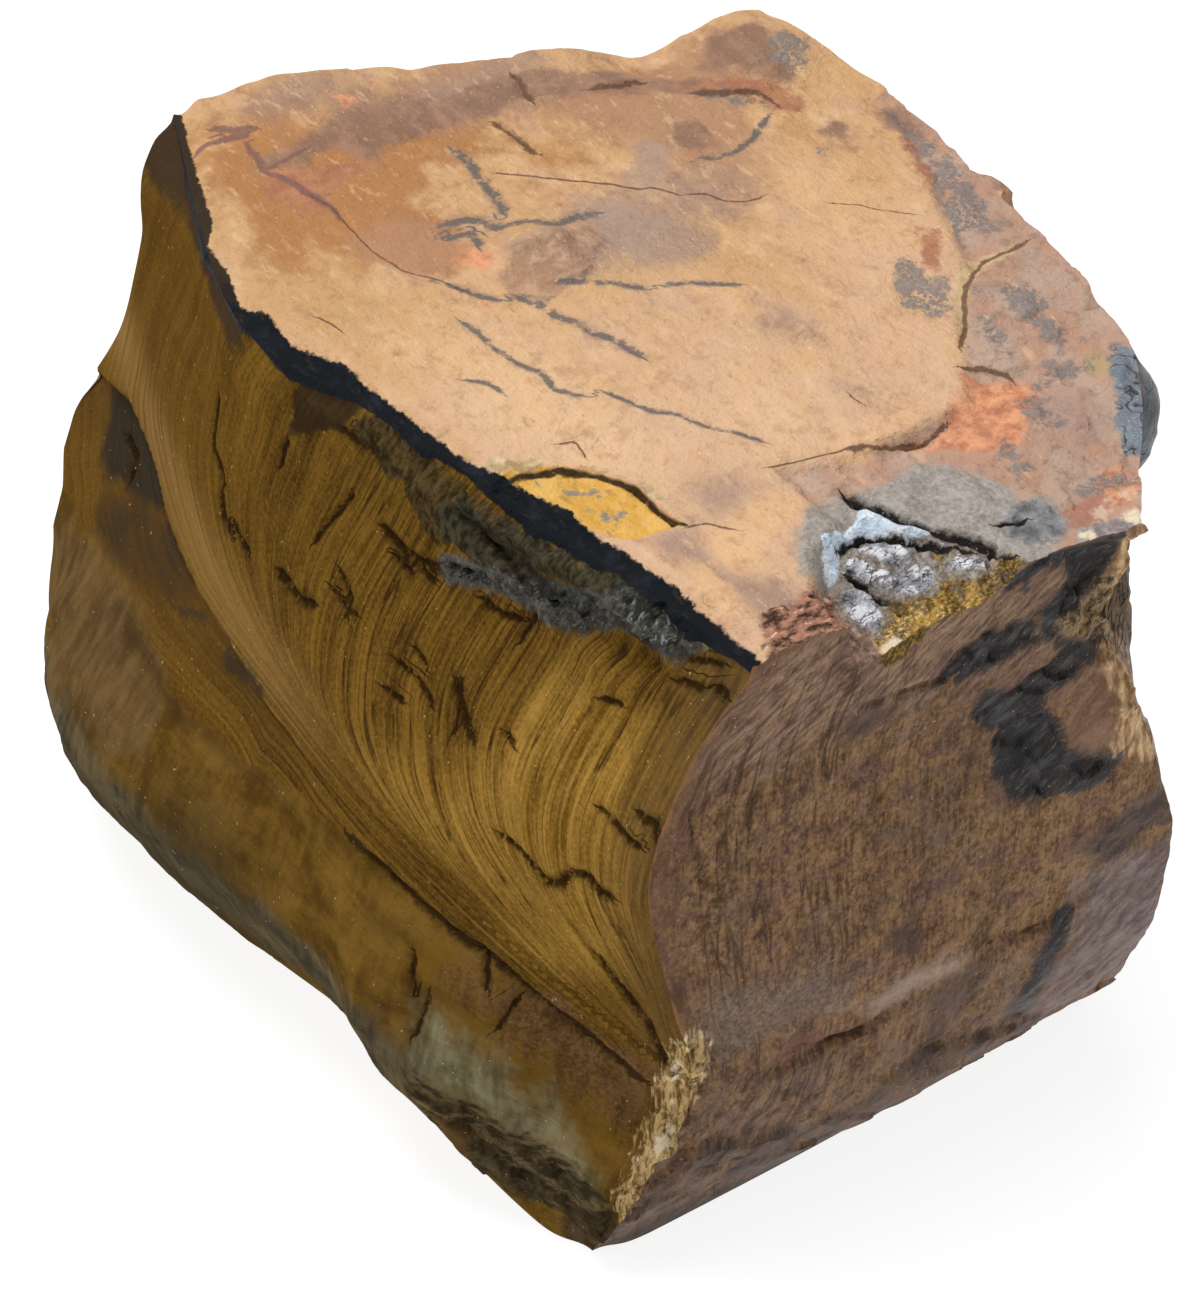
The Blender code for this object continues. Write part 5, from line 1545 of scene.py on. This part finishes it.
GOLD = (0.132, 0.063, 0.007)
GOLD_LIGHT = (0.25, 0.134, 0.021)
GOLD_DARK = (0.060, 0.028, 0.006)
GOLD_LIT_LIGHT = (0.44, 0.250, 0.052)
GOLD_BROWN = (0.125, 0.063, 0.014)
# The next colour is the lighter gold of the painted chatoyant sheen band.
SHEEN_BAND_GOLD = (0.33, 0.192, 0.064)
THREAD = (0.035, 0.018, 0.006)
SPARK = (0.62, 0.45, 0.18)
# The next two colours are the painted shade in the recess under the fold.
RECESS_SHADE_DARK = (0.043, 0.032, 0.020)
RECESS_SHADE_BROWN = (0.085, 0.043, 0.014)


def fibre_places(s):
    """Coordinates that run along the fibres: across, along the height, and in."""
    axes = split(s)
    return coordinate(s, s.field("fibre"), axes["Z"], 0.0), axes


def pale_fray(s, seed):
    """The pale, split fibres where the arris is broken."""
    hairs = s.noise((0.55, 0.55, 3.2), 3, 0.68, seed)
    share = s.ramp(s.field("pale_fray") + hairs * 1.6, -0.5, 0.9)
    s.lay(share * 0.92, s.tint(hairs, -0.4, 0.35, (0.155, 0.083, 0.022), (0.64, 0.44, 0.2)))
    s.lay(share * s.ramp(s.noise((1.8, 1.8, 3), 3, 0.6, seed + 1), 0.15, 0.5) * 0.8,
          (0.85, 0.72, 0.5))


def toe_coats(s, toe, axes, grain):
    """The rounded toe below the crease, and the scalloped ledges under it."""
    streaks = s.noise((1.4, 4, 6), 3, 0.62, 13)
    clouds = s.noise((8, 8, 5), 3, 0.62, 14)
    skin = s.tint(streaks * 0.6 + clouds * 1.4 + grain * 0.3, -0.9, 0.9, (0.085, 0.043, 0.008),
                  (0.205, 0.111, 0.021))
    s.lay(toe, skin, 0.5)
    s.lay(s.zone("red_toe", 1.5, 2.0, 4) * 0.65, s.tint(streaks + grain, -0.7, 0.7,
          (0.085, 0.042, 0.017), (0.215, 0.115, 0.055)))
    s.lay(s.zone("gold_toe", 1.2, 2.0, 3) * s.ramp(streaks, -0.6, 0.5) * 0.7,
          (0.165, 0.088, 0.01))
    dark_toe = s.ramp(s.noise((6, 6, 9), 3, 0.6, 40) + streaks * 0.2, 0.1, 0.9)
    s.lay(toe * dark_toe * 0.55, (0.055, 0.033, 0.01))
    s.lay(s.zone("olive_edge", 2.4, 2.2, 4) * 0.78, s.tint(streaks + clouds, -0.8, 0.8,
          (0.048, 0.046, 0.033), (0.145, 0.122, 0.075)))
    s.lay(s.zone("lilac", 2.0, 2.0, 4) * 0.7, s.tint(streaks, -0.7, 0.7, (0.095, 0.054, 0.023),
          (0.185, 0.115, 0.052)))
    s.lay(toe * s.ramp(s.field("lobe") + clouds * 0.8, 2.0, 0.2) * s.ramp(axes["X"], 10,
          -4) * 0.65, (0.06, 0.032, 0.012))
    green = s.zone("green", 2.4, 2.6, 3.2)
    s.lay(green * 0.75, s.tint(streaks + clouds, -0.7, 0.7, (0.115, 0.102, 0.055),
          (0.29, 0.27, 0.165)))
    s.lay(toe * s.ramp(s.field("toe_shade") + clouds * 0.35, 0.1, 1.0) * 0.62,
          (0.044, 0.036, 0.02))
    s.lay(green * s.ramp(s.noise(0.5, 1, 0.5, 17), 0.8, 0.95), (0.7, 0.72, 0.7), 0.3)
    s.lay(s.zone("scallops", 0.8, 1.6, 2.2) * 0.9, s.tint(s.noise((4, 1.2, 0.9), 3, 0.68, 43),
          -0.35, 0.5, (0.026, 0.022, 0.014), (0.165, 0.118, 0.058)))
    s.lay(s.zone("tip_facet", 0.4, 0.8, 2) * 0.85, (0.115, 0.062, 0.022))
    s.lay(s.zone("tip_dark", 0.6, 1.4, 2) * 0.88, s.tint(s.noise((2.5, 0.9, 2.5), 3, 0.6, 20),
          -0.4, 0.5, (0.032, 0.023, 0.013), (0.095, 0.07, 0.038)))
    s.lay(s.line("ridge", 0.9, 1.5, 0.5, 1.2) * 0.45, (0.035, 0.022, 0.008))


def rim_coats(s, strokes, blotch):
    """The broken lips under the rim, the glittering rough zone and the black rim."""
    crumbs = s.noise(0.8, 3, 0.68, 27)
    s.lay(s.zone("dark_lip", 0.35, 0.7, 2) * 0.92, s.tint(blotch, -0.2, 0.7,
          (0.036, 0.022, 0.011), (0.075, 0.045, 0.018)))
    s.lay(s.zone("rubble_lip", 0.4, 0.9, 1.8) * 0.88, s.tint(strokes + crumbs * 0.5, -0.6, 0.7,
          (0.016, 0.011, 0.005), (0.105, 0.074, 0.032)))
    s.lay(s.zone("grey_lip", 0.5, 0.9, 1.8) * 0.92, s.tint(strokes + crumbs * 0.5, -0.6, 0.8,
          (0.014, 0.013, 0.008), (0.085, 0.078, 0.05)))
    s.lay(s.ramp(s.field("rough") + crumbs * 0.9, -1.3, -0.6), s.tint(crumbs, -0.2, 0.7,
          (0.008, 0.007, 0.004), (0.085, 0.078, 0.045)), 0.35, 0.35)
    s.lay(s.zone("speckled", 0.6, 1.2, 1.5) * s.ramp(strokes, 0.15, 0.45), (0.28, 0.31, 0.32),
          0.25)
    s.lay(s.ramp(s.field("rough"), -1.0, -0.4) * s.ramp(strokes, 0.35, 0.6) * 0.7,
          (0.16, 0.17, 0.15), 0.25)
    s.lay(s.zone("fringe", 0.3, 0.8, 1.2) * 0.85, s.tint(crumbs, -0.4, 0.4,
          (0.02, 0.016, 0.007), (0.17, 0.115, 0.035)))
    rim = s.zone("rim", 0.12, 0.3, 1.4)
    s.lay(s.zone("brown_rim", 0.7, 1.0, 3) * 0.85, RIM_BROWN, 0.4)
    s.lay(rim, s.tint(blotch, -0.2, 0.9, RIM_BLACK, (0.02, 0.022, 0.023)), 0.5, 0.04)
    s.lay(s.zone("facet", 0.3, 0.4, 1.5) * 0.7, (0.06, 0.068, 0.072), 0.25, 0.4)


def golden_face(part):
    """The golden face; its rim, its fibres and its toe each have only the coats they need."""
    s = Stone(part)
    along, axes = fibre_places(s)
    crowd = s.ramp(s.field("crowd"), 1.8, 4.5)
    threads = s.noise((0.50, 16, 1), 3, 0.62, 1, along)
    crowded = s.noise((3.4, 60, 1), 3, 0.68, 2, along)
    fine = s.blend(crowd, threads, crowded)
    bands = s.noise((2.6, 24, 1), 2, 0.5, 3, along)
    broad = s.noise(20, 2, 0.5, 4)
    blotch = s.noise(4.5, 3, 0.62, 5)
    grain = s.noise(0.42, 2, 0.6, 6)
    strokes = s.noise((0.8, 1.6, 2.2), 3, 0.68, 36)
    clear = s.ramp(axes["X"] + broad * 10, -24, 14)
    weave = fine * s.blend(clear, 0.35, 0.85) + bands * 0.3 + grain * 0.4 + blotch * 0.22
    plain = s.tint(weave, -0.75, 0.85, GOLD_DARK, GOLD_LIGHT)
    lit = s.tint(weave, -0.8, 0.8, GOLD, GOLD_LIT_LIGHT)
    lit_share = s.ramp(s.field("lit") + broad * 0.3 + bands * 0.2, 0.2, 1.1)
    s.colour = s.blend(lit_share, plain, lit)
    s.roughness = 0.46 + grain * 0.1
    s.shine = 0.0
    left = s.ramp(axes["X"] + broad * 8, -8, -38)
    s.lay(left * 0.45, GOLD_BROWN)
    s.lay(s.ramp(blotch, 0.1, 0.9) * 0.5, GOLD_DARK)
    strand = abs(s.noise((1.35, 30, 1), 1, 0.5, 7, along))
    drawn = s.ramp(strand, 0.085, 0.02) * s.ramp(s.noise((3, 9, 3), 3, 0.6, 8), -0.5, 0.3)
    drawn = drawn * s.ramp(crowd, 0.7, 0.2) * s.ramp(axes["X"], -14, 2)
    s.lay(drawn * 0.82, THREAD)
    s.lay(s.ramp(fine, 0.46, 0.85) * s.ramp(bands + broad, -0.5, 0.6) * clear * 0.48, THREAD)
    # Painted sheen: the chatoyant light band, laid as lighter gold along the fibres' bend.
    s.lay(s.field("painted_sheen") * s.ramp(fine, -1.2, 0.8) * s.ramp(axes["X"], 20, -10) * 0.85,
          SHEEN_BAND_GOLD, 0.38)
    beyond = s.ramp(s.field("fold_side"), 0.0, -1.2)
    shade = beyond * s.ramp(s.field("fold_side"), -9, -2) * s.ramp(axes["X"], 12, -6)
    s.lay(shade * 0.45, (0.075, 0.04, 0.014))
    s.lay(s.ramp(s.field("arris") + blotch * 1.5, 9.0, 1.5) * 0.38, (0.165, 0.1, 0.042))
    # Painted shade: the recess under the fold is painted dark and dark brown.
    s.lay(s.zone("patch", 0.9, 1.0, 4) * 0.95, s.tint(fine, -0.5, 0.8, RECESS_SHADE_DARK,
          (0.027, 0.023, 0.019)))
    s.lay(s.zone("recess_brown_shade", 0.9, 1.4, 3) * 0.9, s.tint(blotch + fine, -0.6, 0.8,
          RECESS_SHADE_BROWN, RECESS_SHADE_DARK))
    s.lay(s.zone("recess_shade", 0.8, 1.6, 2) * 0.8, RECESS_SHADE_DARK)
    bare = 1.0
    if part == "golden_toe":
        toe = s.zone("toe", 0.5, 0.8, 3.2)
        bare = s.ramp(toe, 0.5, 0.0)
        toe_coats(s, toe, axes, grain)
    s.lay(s.line("crack", 1.0, 1.8, 0.5, 1.4) * 0.85, (0.03, 0.016, 0.007), 0.8)
    s.lay(s.line("chip", 2.4, 2.2, 1.4, 1.4) * s.ramp(blotch, -0.6, 0.3) * 0.55,
          (0.055, 0.028, 0.01))
    s.lay(s.line("chip", 1.3, 1.5, 1.3, 0.8) * s.ramp(strokes, -0.55, -0.05) * 0.8,
          (0.014, 0.007, 0.003), 0.7)
    dashes = s.noise((0.7, 1.6, 0.45), 2, 0.55, 24)
    s.lay(s.ramp(dashes, 0.62, 0.85) * s.ramp(blotch, -0.3, 0.4) * bare * 0.75,
          (0.03, 0.014, 0.005))
    s.lay(s.ramp(dashes, -0.62, -0.85) * lit_share * 0.6, (0.5, 0.32, 0.07))
    sparks = s.noise((0.35, 0.35, 0.7), 1, 0.5, 25)
    s.lay(s.ramp(sparks, 0.72, 0.95) * 0.75, SPARK, 0.35)
    if part == "golden_toe":
        pale_fray(s, 44)
    if part == "golden_rim":
        rim_coats(s, strokes, blotch)
    s.height = fine * 0.09 + grain * 0.04 + blotch * 0.08
    return s.finish()


BROWN_DEEP = (0.088, 0.046, 0.021)
BROWN_LIGHT = (0.40, 0.230, 0.108)
PURPLE = (0.130, 0.083, 0.072)
BLUE_BLACK = (0.012, 0.0125, 0.014)


def brown_face():
    s = Stone("brown_fibre_ends")
    along, axes = fibre_places(s)
    threads = s.noise((0.50, 3.6, 1), 3, 0.68, 1, along)
    bands = s.noise((2.6, 18, 1), 3, 0.58, 2, along)
    broad = s.noise(16, 3, 0.5, 3)
    blotch = s.noise(4.0, 3, 0.65, 4)
    grain = s.noise((0.42, 0.42, 0.6), 3, 0.70, 5)
    rising = coordinate(s, axes["X"], axes["Y"] * 0.75 + axes["Z"] * 0.66,
                        axes["Z"] * 0.75 + axes["Y"] * -0.66)
    drift = s.noise((3, 3.4, 1.2), 3, 0.65, 6, rising)
    strokes = s.noise((1.5, 3.0, 0.55), 3, 0.68, 23, rising)
    upper = s.ramp(axes["Z"] + blotch * 3, 62, 69)
    tuft = s.noise((1.1, 1.5, 1.7), 3, 0.68, 27)
    mixed = s.blend(upper, threads * 0.42 + tuft * 0.38,
                    strokes * 0.75) + grain * 0.62 + bands * 0.28 + drift * 0.22
    tint = s.noise((5, 5, 3.4), 3, 0.62, 28)
    light = s.tint(tint, -0.5, 0.0, (0.31, 0.175, 0.12), BROWN_LIGHT)
    light = s.tint(tint, 0.1, 0.6, light, (0.36, 0.235, 0.155))
    s.colour = s.tint(mixed, -0.62, 0.68, s.tint(tint, -0.4, 0.4, (0.085, 0.042, 0.028),
                      BROWN_DEEP), light)
    s.roughness = 0.55 + grain * 0.12
    s.shine = 0.05
    s.lay(upper * 0.45, s.tint(strokes, -0.5, 0.5, (0.165, 0.106, 0.082), (0.48, 0.325, 0.235)))
    s.lay(s.ramp(blotch + broad, 0.0, 0.9) * 0.45, PURPLE)
    s.lay(s.ramp(drift, 0.15, 0.8) * s.ramp(axes["Z"], 44, 30) * 0.5, (0.165, 0.118, 0.108))
    arcs = abs(s.noise((1.1, 22, 1), 2, 0.6, 24, along))
    s.lay(s.ramp(arcs, 0.15, 0.03) * s.ramp(s.field("arris") + blotch, 30,
          14) * s.ramp(s.noise((2, 6, 2), 3, 0.6, 25, along), -0.4, 0.2) * 0.7,
          (0.06, 0.031, 0.018))
    s.lay(s.ramp(s.noise((0.5, 0.5, 1.4), 2, 0.6, 26), 0.42, 0.75) * 0.5, (0.055, 0.03, 0.018))
    s.lay(s.zone("green", 3.0, 2.5, 5) * 0.55, s.tint(grain, -0.6, 0.6, (0.13, 0.096, 0.078),
          (0.29, 0.225, 0.18)))
    s.lay(s.zone("pale", 1.6, 2.2, 3) * 0.65, (0.5, 0.37, 0.305))
    s.lay(s.zone("red", 1.2, 2.0, 3) * 0.5, (0.25, 0.115, 0.085))
    # Painted sheen: a greyish-lilac haze over the lower right of the brown face.
    s.lay(s.zone("lilac", 2.0, 2.2, 4) * 0.65, s.tint(drift, -0.5, 0.6, (0.15, 0.118, 0.115),
          (0.37, 0.31, 0.31)), 0.42)
    s.lay(s.zone("bruise", 1.4, 1.6, 3) * 0.62, (0.07, 0.048, 0.044))
    s.lay(s.zone("blue_edge", 1.0, 2.0, 3) * 0.75, s.tint(drift, -0.5, 0.6,
          (0.045, 0.042, 0.045), (0.14, 0.105, 0.095)))
    s.lay(s.zone("peach", 0.8, 1.6, 2) * 0.75, s.tint(drift, -0.6, 0.6, (0.19, 0.095, 0.06),
          (0.36, 0.215, 0.145)))
    olive = s.zone("olive", 0.5, 1.4, 2)
    s.lay(olive * 0.92, s.tint(drift + grain, -0.5, 0.6, (0.045, 0.033, 0.02),
          (0.4, 0.265, 0.13)))
    golden = s.ramp(s.field("golden") + s.edge(1.8) * 1.8 + 1.0, -0.8, 0.8)
    s.lay(golden * 0.85, s.tint(s.noise((0.8, 0.8, 4), 3, 0.65, 16), -0.4, 0.5,
          (0.27, 0.145, 0.065), (0.92, 0.63, 0.35)))
    blue = s.ramp(s.field("blue") + drift * 1.6 + strokes * 0.7, -0.5, 0.5)
    s.lay(blue * 0.96, s.tint(drift + strokes * 0.5, -0.2, 0.9, BLUE_BLACK,
          (0.09, 0.088, 0.092)), 0.42, 0.12)
    s.lay(blue * s.ramp(strokes, 0.3, 0.7) * 0.6, (0.15, 0.095, 0.06))
    foot = s.zone("foot", 0.9, 1.8, 3.0)
    s.lay(foot * s.ramp(drift + blotch, -0.7, 0.4) * 0.8, s.tint(drift, -0.4, 0.7,
          (0.018, 0.015, 0.014), (0.066, 0.053, 0.048)))
    # Painted sheen: a lighter greyish-lilac haze towards the bottom of the brown face.
    s.lay(s.ramp(axes["Z"] + blotch * 4.0, 30, 14) * s.ramp(drift, -0.6, 0.5) * 0.42,
          (0.27, 0.2, 0.178))
    s.lay(s.ramp(axes["Z"] + blotch * 2.0, 4.5, 1.0) * 0.6, (0.036, 0.03, 0.028))
    s.lay(s.line("crack", 1.1, 1.5, 1.3, 1.4) * s.ramp(blotch, -0.4, 0.2) * 0.6,
          (0.04, 0.022, 0.014))
    near = s.field("arris") + blotch * 0.5
    s.lay(s.ramp(near, 5.0, 1.0) * s.ramp(axes["Z"], 26, 40) * 0.45, (0.17, 0.085, 0.052))
    s.lay(s.ramp(near, 0.7, 0.2) * s.ramp(axes["Z"], 26, 34) * 0.6, (0.42, 0.19, 0.06))
    pale_fray(s, 22)
    s.lay(s.ramp(s.field("upper") + blotch * 0.7, -1.6, -0.2) * 0.7, s.tint(blotch, -0.2, 0.6,
          (0.26, 0.14, 0.085), (0.62, 0.44, 0.3)))
    s.lay(s.zone("druse", 0.4, 0.7, 1.2), s.tint(grain, -0.2, 0.6, DRUSE_DARK, DRUSE_GOLD),
          0.35)
    s.lay(s.ramp(s.noise(0.4, 1, 0.5, 21), 0.66, 0.9) * 0.6, (0.62, 0.42, 0.27), 0.35)
    s.height = grain * 0.09 + threads * 0.06 + blotch * 0.08
    return s.finish()


def broken_sides():
    s = Stone("broken_fibres")
    along, axes = fibre_places(s)
    threads = s.noise((0.7, 18, 1), 3, 0.6, 1, along)
    bands = s.noise((5.0, 40, 1), 3, 0.55, 2, along)
    broad = s.noise(20, 3, 0.55, 3)
    blotch = s.noise(5, 4, 0.62, 4)
    grain = s.noise(0.6, 3, 0.6, 5)
    s.colour = s.tint(threads + bands, -1.0, 1.0, GOLD_DARK, (0.26, 0.15, 0.05))
    s.roughness = 0.5 + grain * 0.1
    s.lay(s.ramp(blotch + broad, 0.0, 1.0) * 0.6, BROWN_DEEP)
    s.lay(s.ramp(bands + broad, 0.6, 1.1) * 0.8, BLUE_BLACK, 0.4)
    s.lay(s.ramp(threads, 0.4, 0.8) * 0.6, THREAD)
    flaked = s.noise((9, 9, 3.5), 3, 0.62, 7)
    s.lay(s.ramp(flaked, 0.15, 0.6) * s.ramp(grain, -0.6, 0.5) * 0.55, (0.135, 0.072, 0.042))
    s.lay(s.ramp(flaked, -0.25, -0.7) * s.ramp(threads, -0.8, 0.4) * 0.5, (0.36, 0.215, 0.075))
    breaks = abs(s.noise((11, 11, 5.5), 3, 0.68, 8))
    s.lay(s.ramp(breaks, 0.055, 0.015) * s.ramp(blotch, -0.5, 0.3) * 0.8, (0.022, 0.013, 0.007))
    s.lay(s.ramp(s.noise((0.8, 0.8, 2.2), 3, 0.65, 9), 0.35, 0.7) * 0.5, (0.4, 0.255, 0.1))
    s.lay(s.ramp(broad + blotch * 0.5, -0.5, -1.0) * 0.7, (0.165, 0.115, 0.098))
    s.lay(s.ramp(axes["Z"] + blotch * 2, 75, 79) * 0.8, s.tint(blotch, -0.3, 0.6, RUST, TAN))
    s.lay(s.ramp(axes["Z"] + blotch * 3, 12, 2) * 0.6, (0.07, 0.052, 0.036))
    s.lay(s.zone("golden", 1.0, 2.0, 1.8) * 0.9, s.tint(s.noise((0.8, 0.8, 4), 3, 0.65, 16),
          -0.4, 0.5, (0.16, 0.085, 0.042), (0.62, 0.42, 0.26)))
    # Painted sheen: the knob's side is tinted blue-grey, as its facet is.
    s.lay(s.zone("knob", 0.8, 1.2, 3), s.tint(blotch, -0.3, 0.8, (0.09, 0.1, 0.11),
          (0.2, 0.22, 0.24)), 0.35)
    s.height = threads * 0.07 + grain * 0.05 + blotch * 0.12 + flaked * 0.25 + s.ramp(breaks,
                                                                                      0.0,
                                                                                      0.09) * 0.25
    s.shine = 0.1
    return s.finish()


# ------------------------------------------------------------------ piece, floor, light, camera

# Millimetres: where the seam wall's pocket part and the golden face's rim and toe parts begin
POCKET_FROM = (31.8, -9.5)
POCKET_BEYOND = 41.5
KNOB_FROM = (27, 30)
RIM_ABOVE = 64
TOE_MARGIN = 4
TOE_TIP = (40, 37)
SHARP_DEGREES = 50
FLOOR_HALF = 6.0
FLOOR_GREY = 0.29
FLOOR_GLOW = 0.865
ROOM_LIGHT = 0.28
LIGHT_TARGET = (0, 0, 0.04)
LIGHTS = (  # name, place, target, size in metres, power in watts
    ("overhead", (-0.25, -0.15, 1.4), LIGHT_TARGET, 0.8, 14.0),
    ("left", (-0.7, -1.1, 0.8), LIGHT_TARGET, 0.5, 3.4),
    ("glint", (-0.42, 0.30, 0.62), (0.0, 0.0, 0.08), 0.05, 0.25),
)


def material_numbers(mesh, owners):
    """Each face's material: that of its side, or of its part of the seam wall or golden face."""
    centres = np.empty(3 * len(mesh.polygons))
    mesh.polygons.foreach_get("center", centres)
    x, y, z = (centres.reshape(-1, 3) / MM + (CENTRE_X, CENTRE_Y, 0)).T
    numbers = np.array((0, 3, 5, 6, 6, 6))[owners]
    pocket = ((x > POCKET_FROM[0]) & (y > POCKET_FROM[1])) | (x > POCKET_BEYOND)
    pocket |= (x > KNOB_FROM[0]) & (y > KNOB_FROM[1])
    toe = z < np.interp(x, *np.transpose(LOWER_EDGE)) + TOE_MARGIN
    toe |= (x > TOE_TIP[0]) & (z < TOE_TIP[1])
    numbers[(owners == 0) & pocket] = 1
    numbers[(owners == 1) & (z > RIM_ABOVE)] = 2
    numbers[(owners == 1) & toe] = 4
    return numbers


def make_block():
    mesh, points, share, owners = block_mesh()
    paint(mesh, points, share, owners)
    for material in (seam_wall(pocket=False), seam_wall(pocket=True), golden_face("golden_rim"),
                     golden_face("golden_fibres"), golden_face("golden_toe"), brown_face(),
                     broken_sides()):
        mesh.materials.append(material)
    mesh.polygons.foreach_set("material_index", material_numbers(mesh, owners))
    mesh.polygons.foreach_set("use_smooth", owners != BASE)
    mesh.set_sharp_from_angle(angle=math.radians(SHARP_DEGREES))
    mesh.update()
    block = bpy.data.objects.new("tigers_eye", mesh)
    bpy.context.scene.collection.objects.link(block)
    return block


def make_floor():
    mesh = bpy.data.meshes.new("floor")
    signs = ((-1, -1), (1, -1), (1, 1), (-1, 1))
    corners = [(x * FLOOR_HALF, y * FLOOR_HALF, 0) for x, y in signs]
    mesh.from_pydata(corners, [], [(0, 1, 2, 3)])
    floor = bpy.data.objects.new("floor", mesh)
    material = bpy.data.materials.new("pale_floor")
    material.use_nodes = True
    shader = material.node_tree.nodes["Principled BSDF"]
    for name, value in (("Base Color", (FLOOR_GREY, FLOOR_GREY, FLOOR_GREY, 1)),
                        ("Roughness", 0.9), ("Specular IOR Level", 0.1),
                        ("Emission Color", (1, 1, 1, 1)), ("Emission Strength", FLOOR_GLOW)):
        shader.inputs[name].default_value = value
    mesh.materials.append(material)
    bpy.context.scene.collection.objects.link(floor)


def make_light(name, place, target, size, power):
    data = bpy.data.lights.new(name, "AREA")
    data.shape = "DISK"
    data.size = size
    data.energy = power
    light = bpy.data.objects.new(name, data)
    light.location = place
    aim = Vector(target) - Vector(place)
    light.rotation_mode = "QUATERNION"
    light.rotation_quaternion = aim.to_track_quat("-Z", "Y")
    bpy.context.scene.collection.objects.link(light)


def make_lights():
    for row in LIGHTS:
        make_light(*row)
    world = bpy.data.worlds.new("studio")
    world.use_nodes = True
    background = world.node_tree.nodes["Background"]
    background.inputs["Color"].default_value = (1.0, 1.0, 1.0, 1)
    background.inputs["Strength"].default_value = ROOM_LIGHT
    bpy.context.scene.world = world


CAMERA_AZIMUTH = 57.0
CAMERA_ELEVATION = 41.0
CAMERA_DISTANCE = 450.0
CAMERA_TARGET = (0.0, 0.0, 36.0)
FOCAL_PIXELS = 4300.0
IMAGE_LONG_SIDE = 1307
SENSOR = 36.0


def make_camera():
    azimuth, elevation = math.radians(CAMERA_AZIMUTH), math.radians(CAMERA_ELEVATION)
    back = Vector((math.sin(azimuth) * math.cos(elevation),
                   -math.cos(azimuth) * math.cos(elevation), math.sin(elevation)))
    target = Vector(to_frame(np.array(CAMERA_TARGET)))
    data = bpy.data.cameras.new("camera")
    data.sensor_width = SENSOR
    data.sensor_fit = "AUTO"
    data.lens = FOCAL_PIXELS / IMAGE_LONG_SIDE * SENSOR
    data.clip_start = 0.01
    data.clip_end = 50
    camera = bpy.data.objects.new("camera", data)
    camera.location = target + back * CAMERA_DISTANCE * MM
    camera.rotation_mode = "QUATERNION"
    camera.rotation_quaternion = (-back).to_track_quat("-Z", "Y")
    bpy.context.scene.collection.objects.link(camera)
    bpy.context.scene.camera = camera


block = make_block()
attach(block, "root")
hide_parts("tigers_eye_block")
make_floor()
make_lights()
make_camera()
bpy.context.scene.view_settings.view_transform = "Standard"
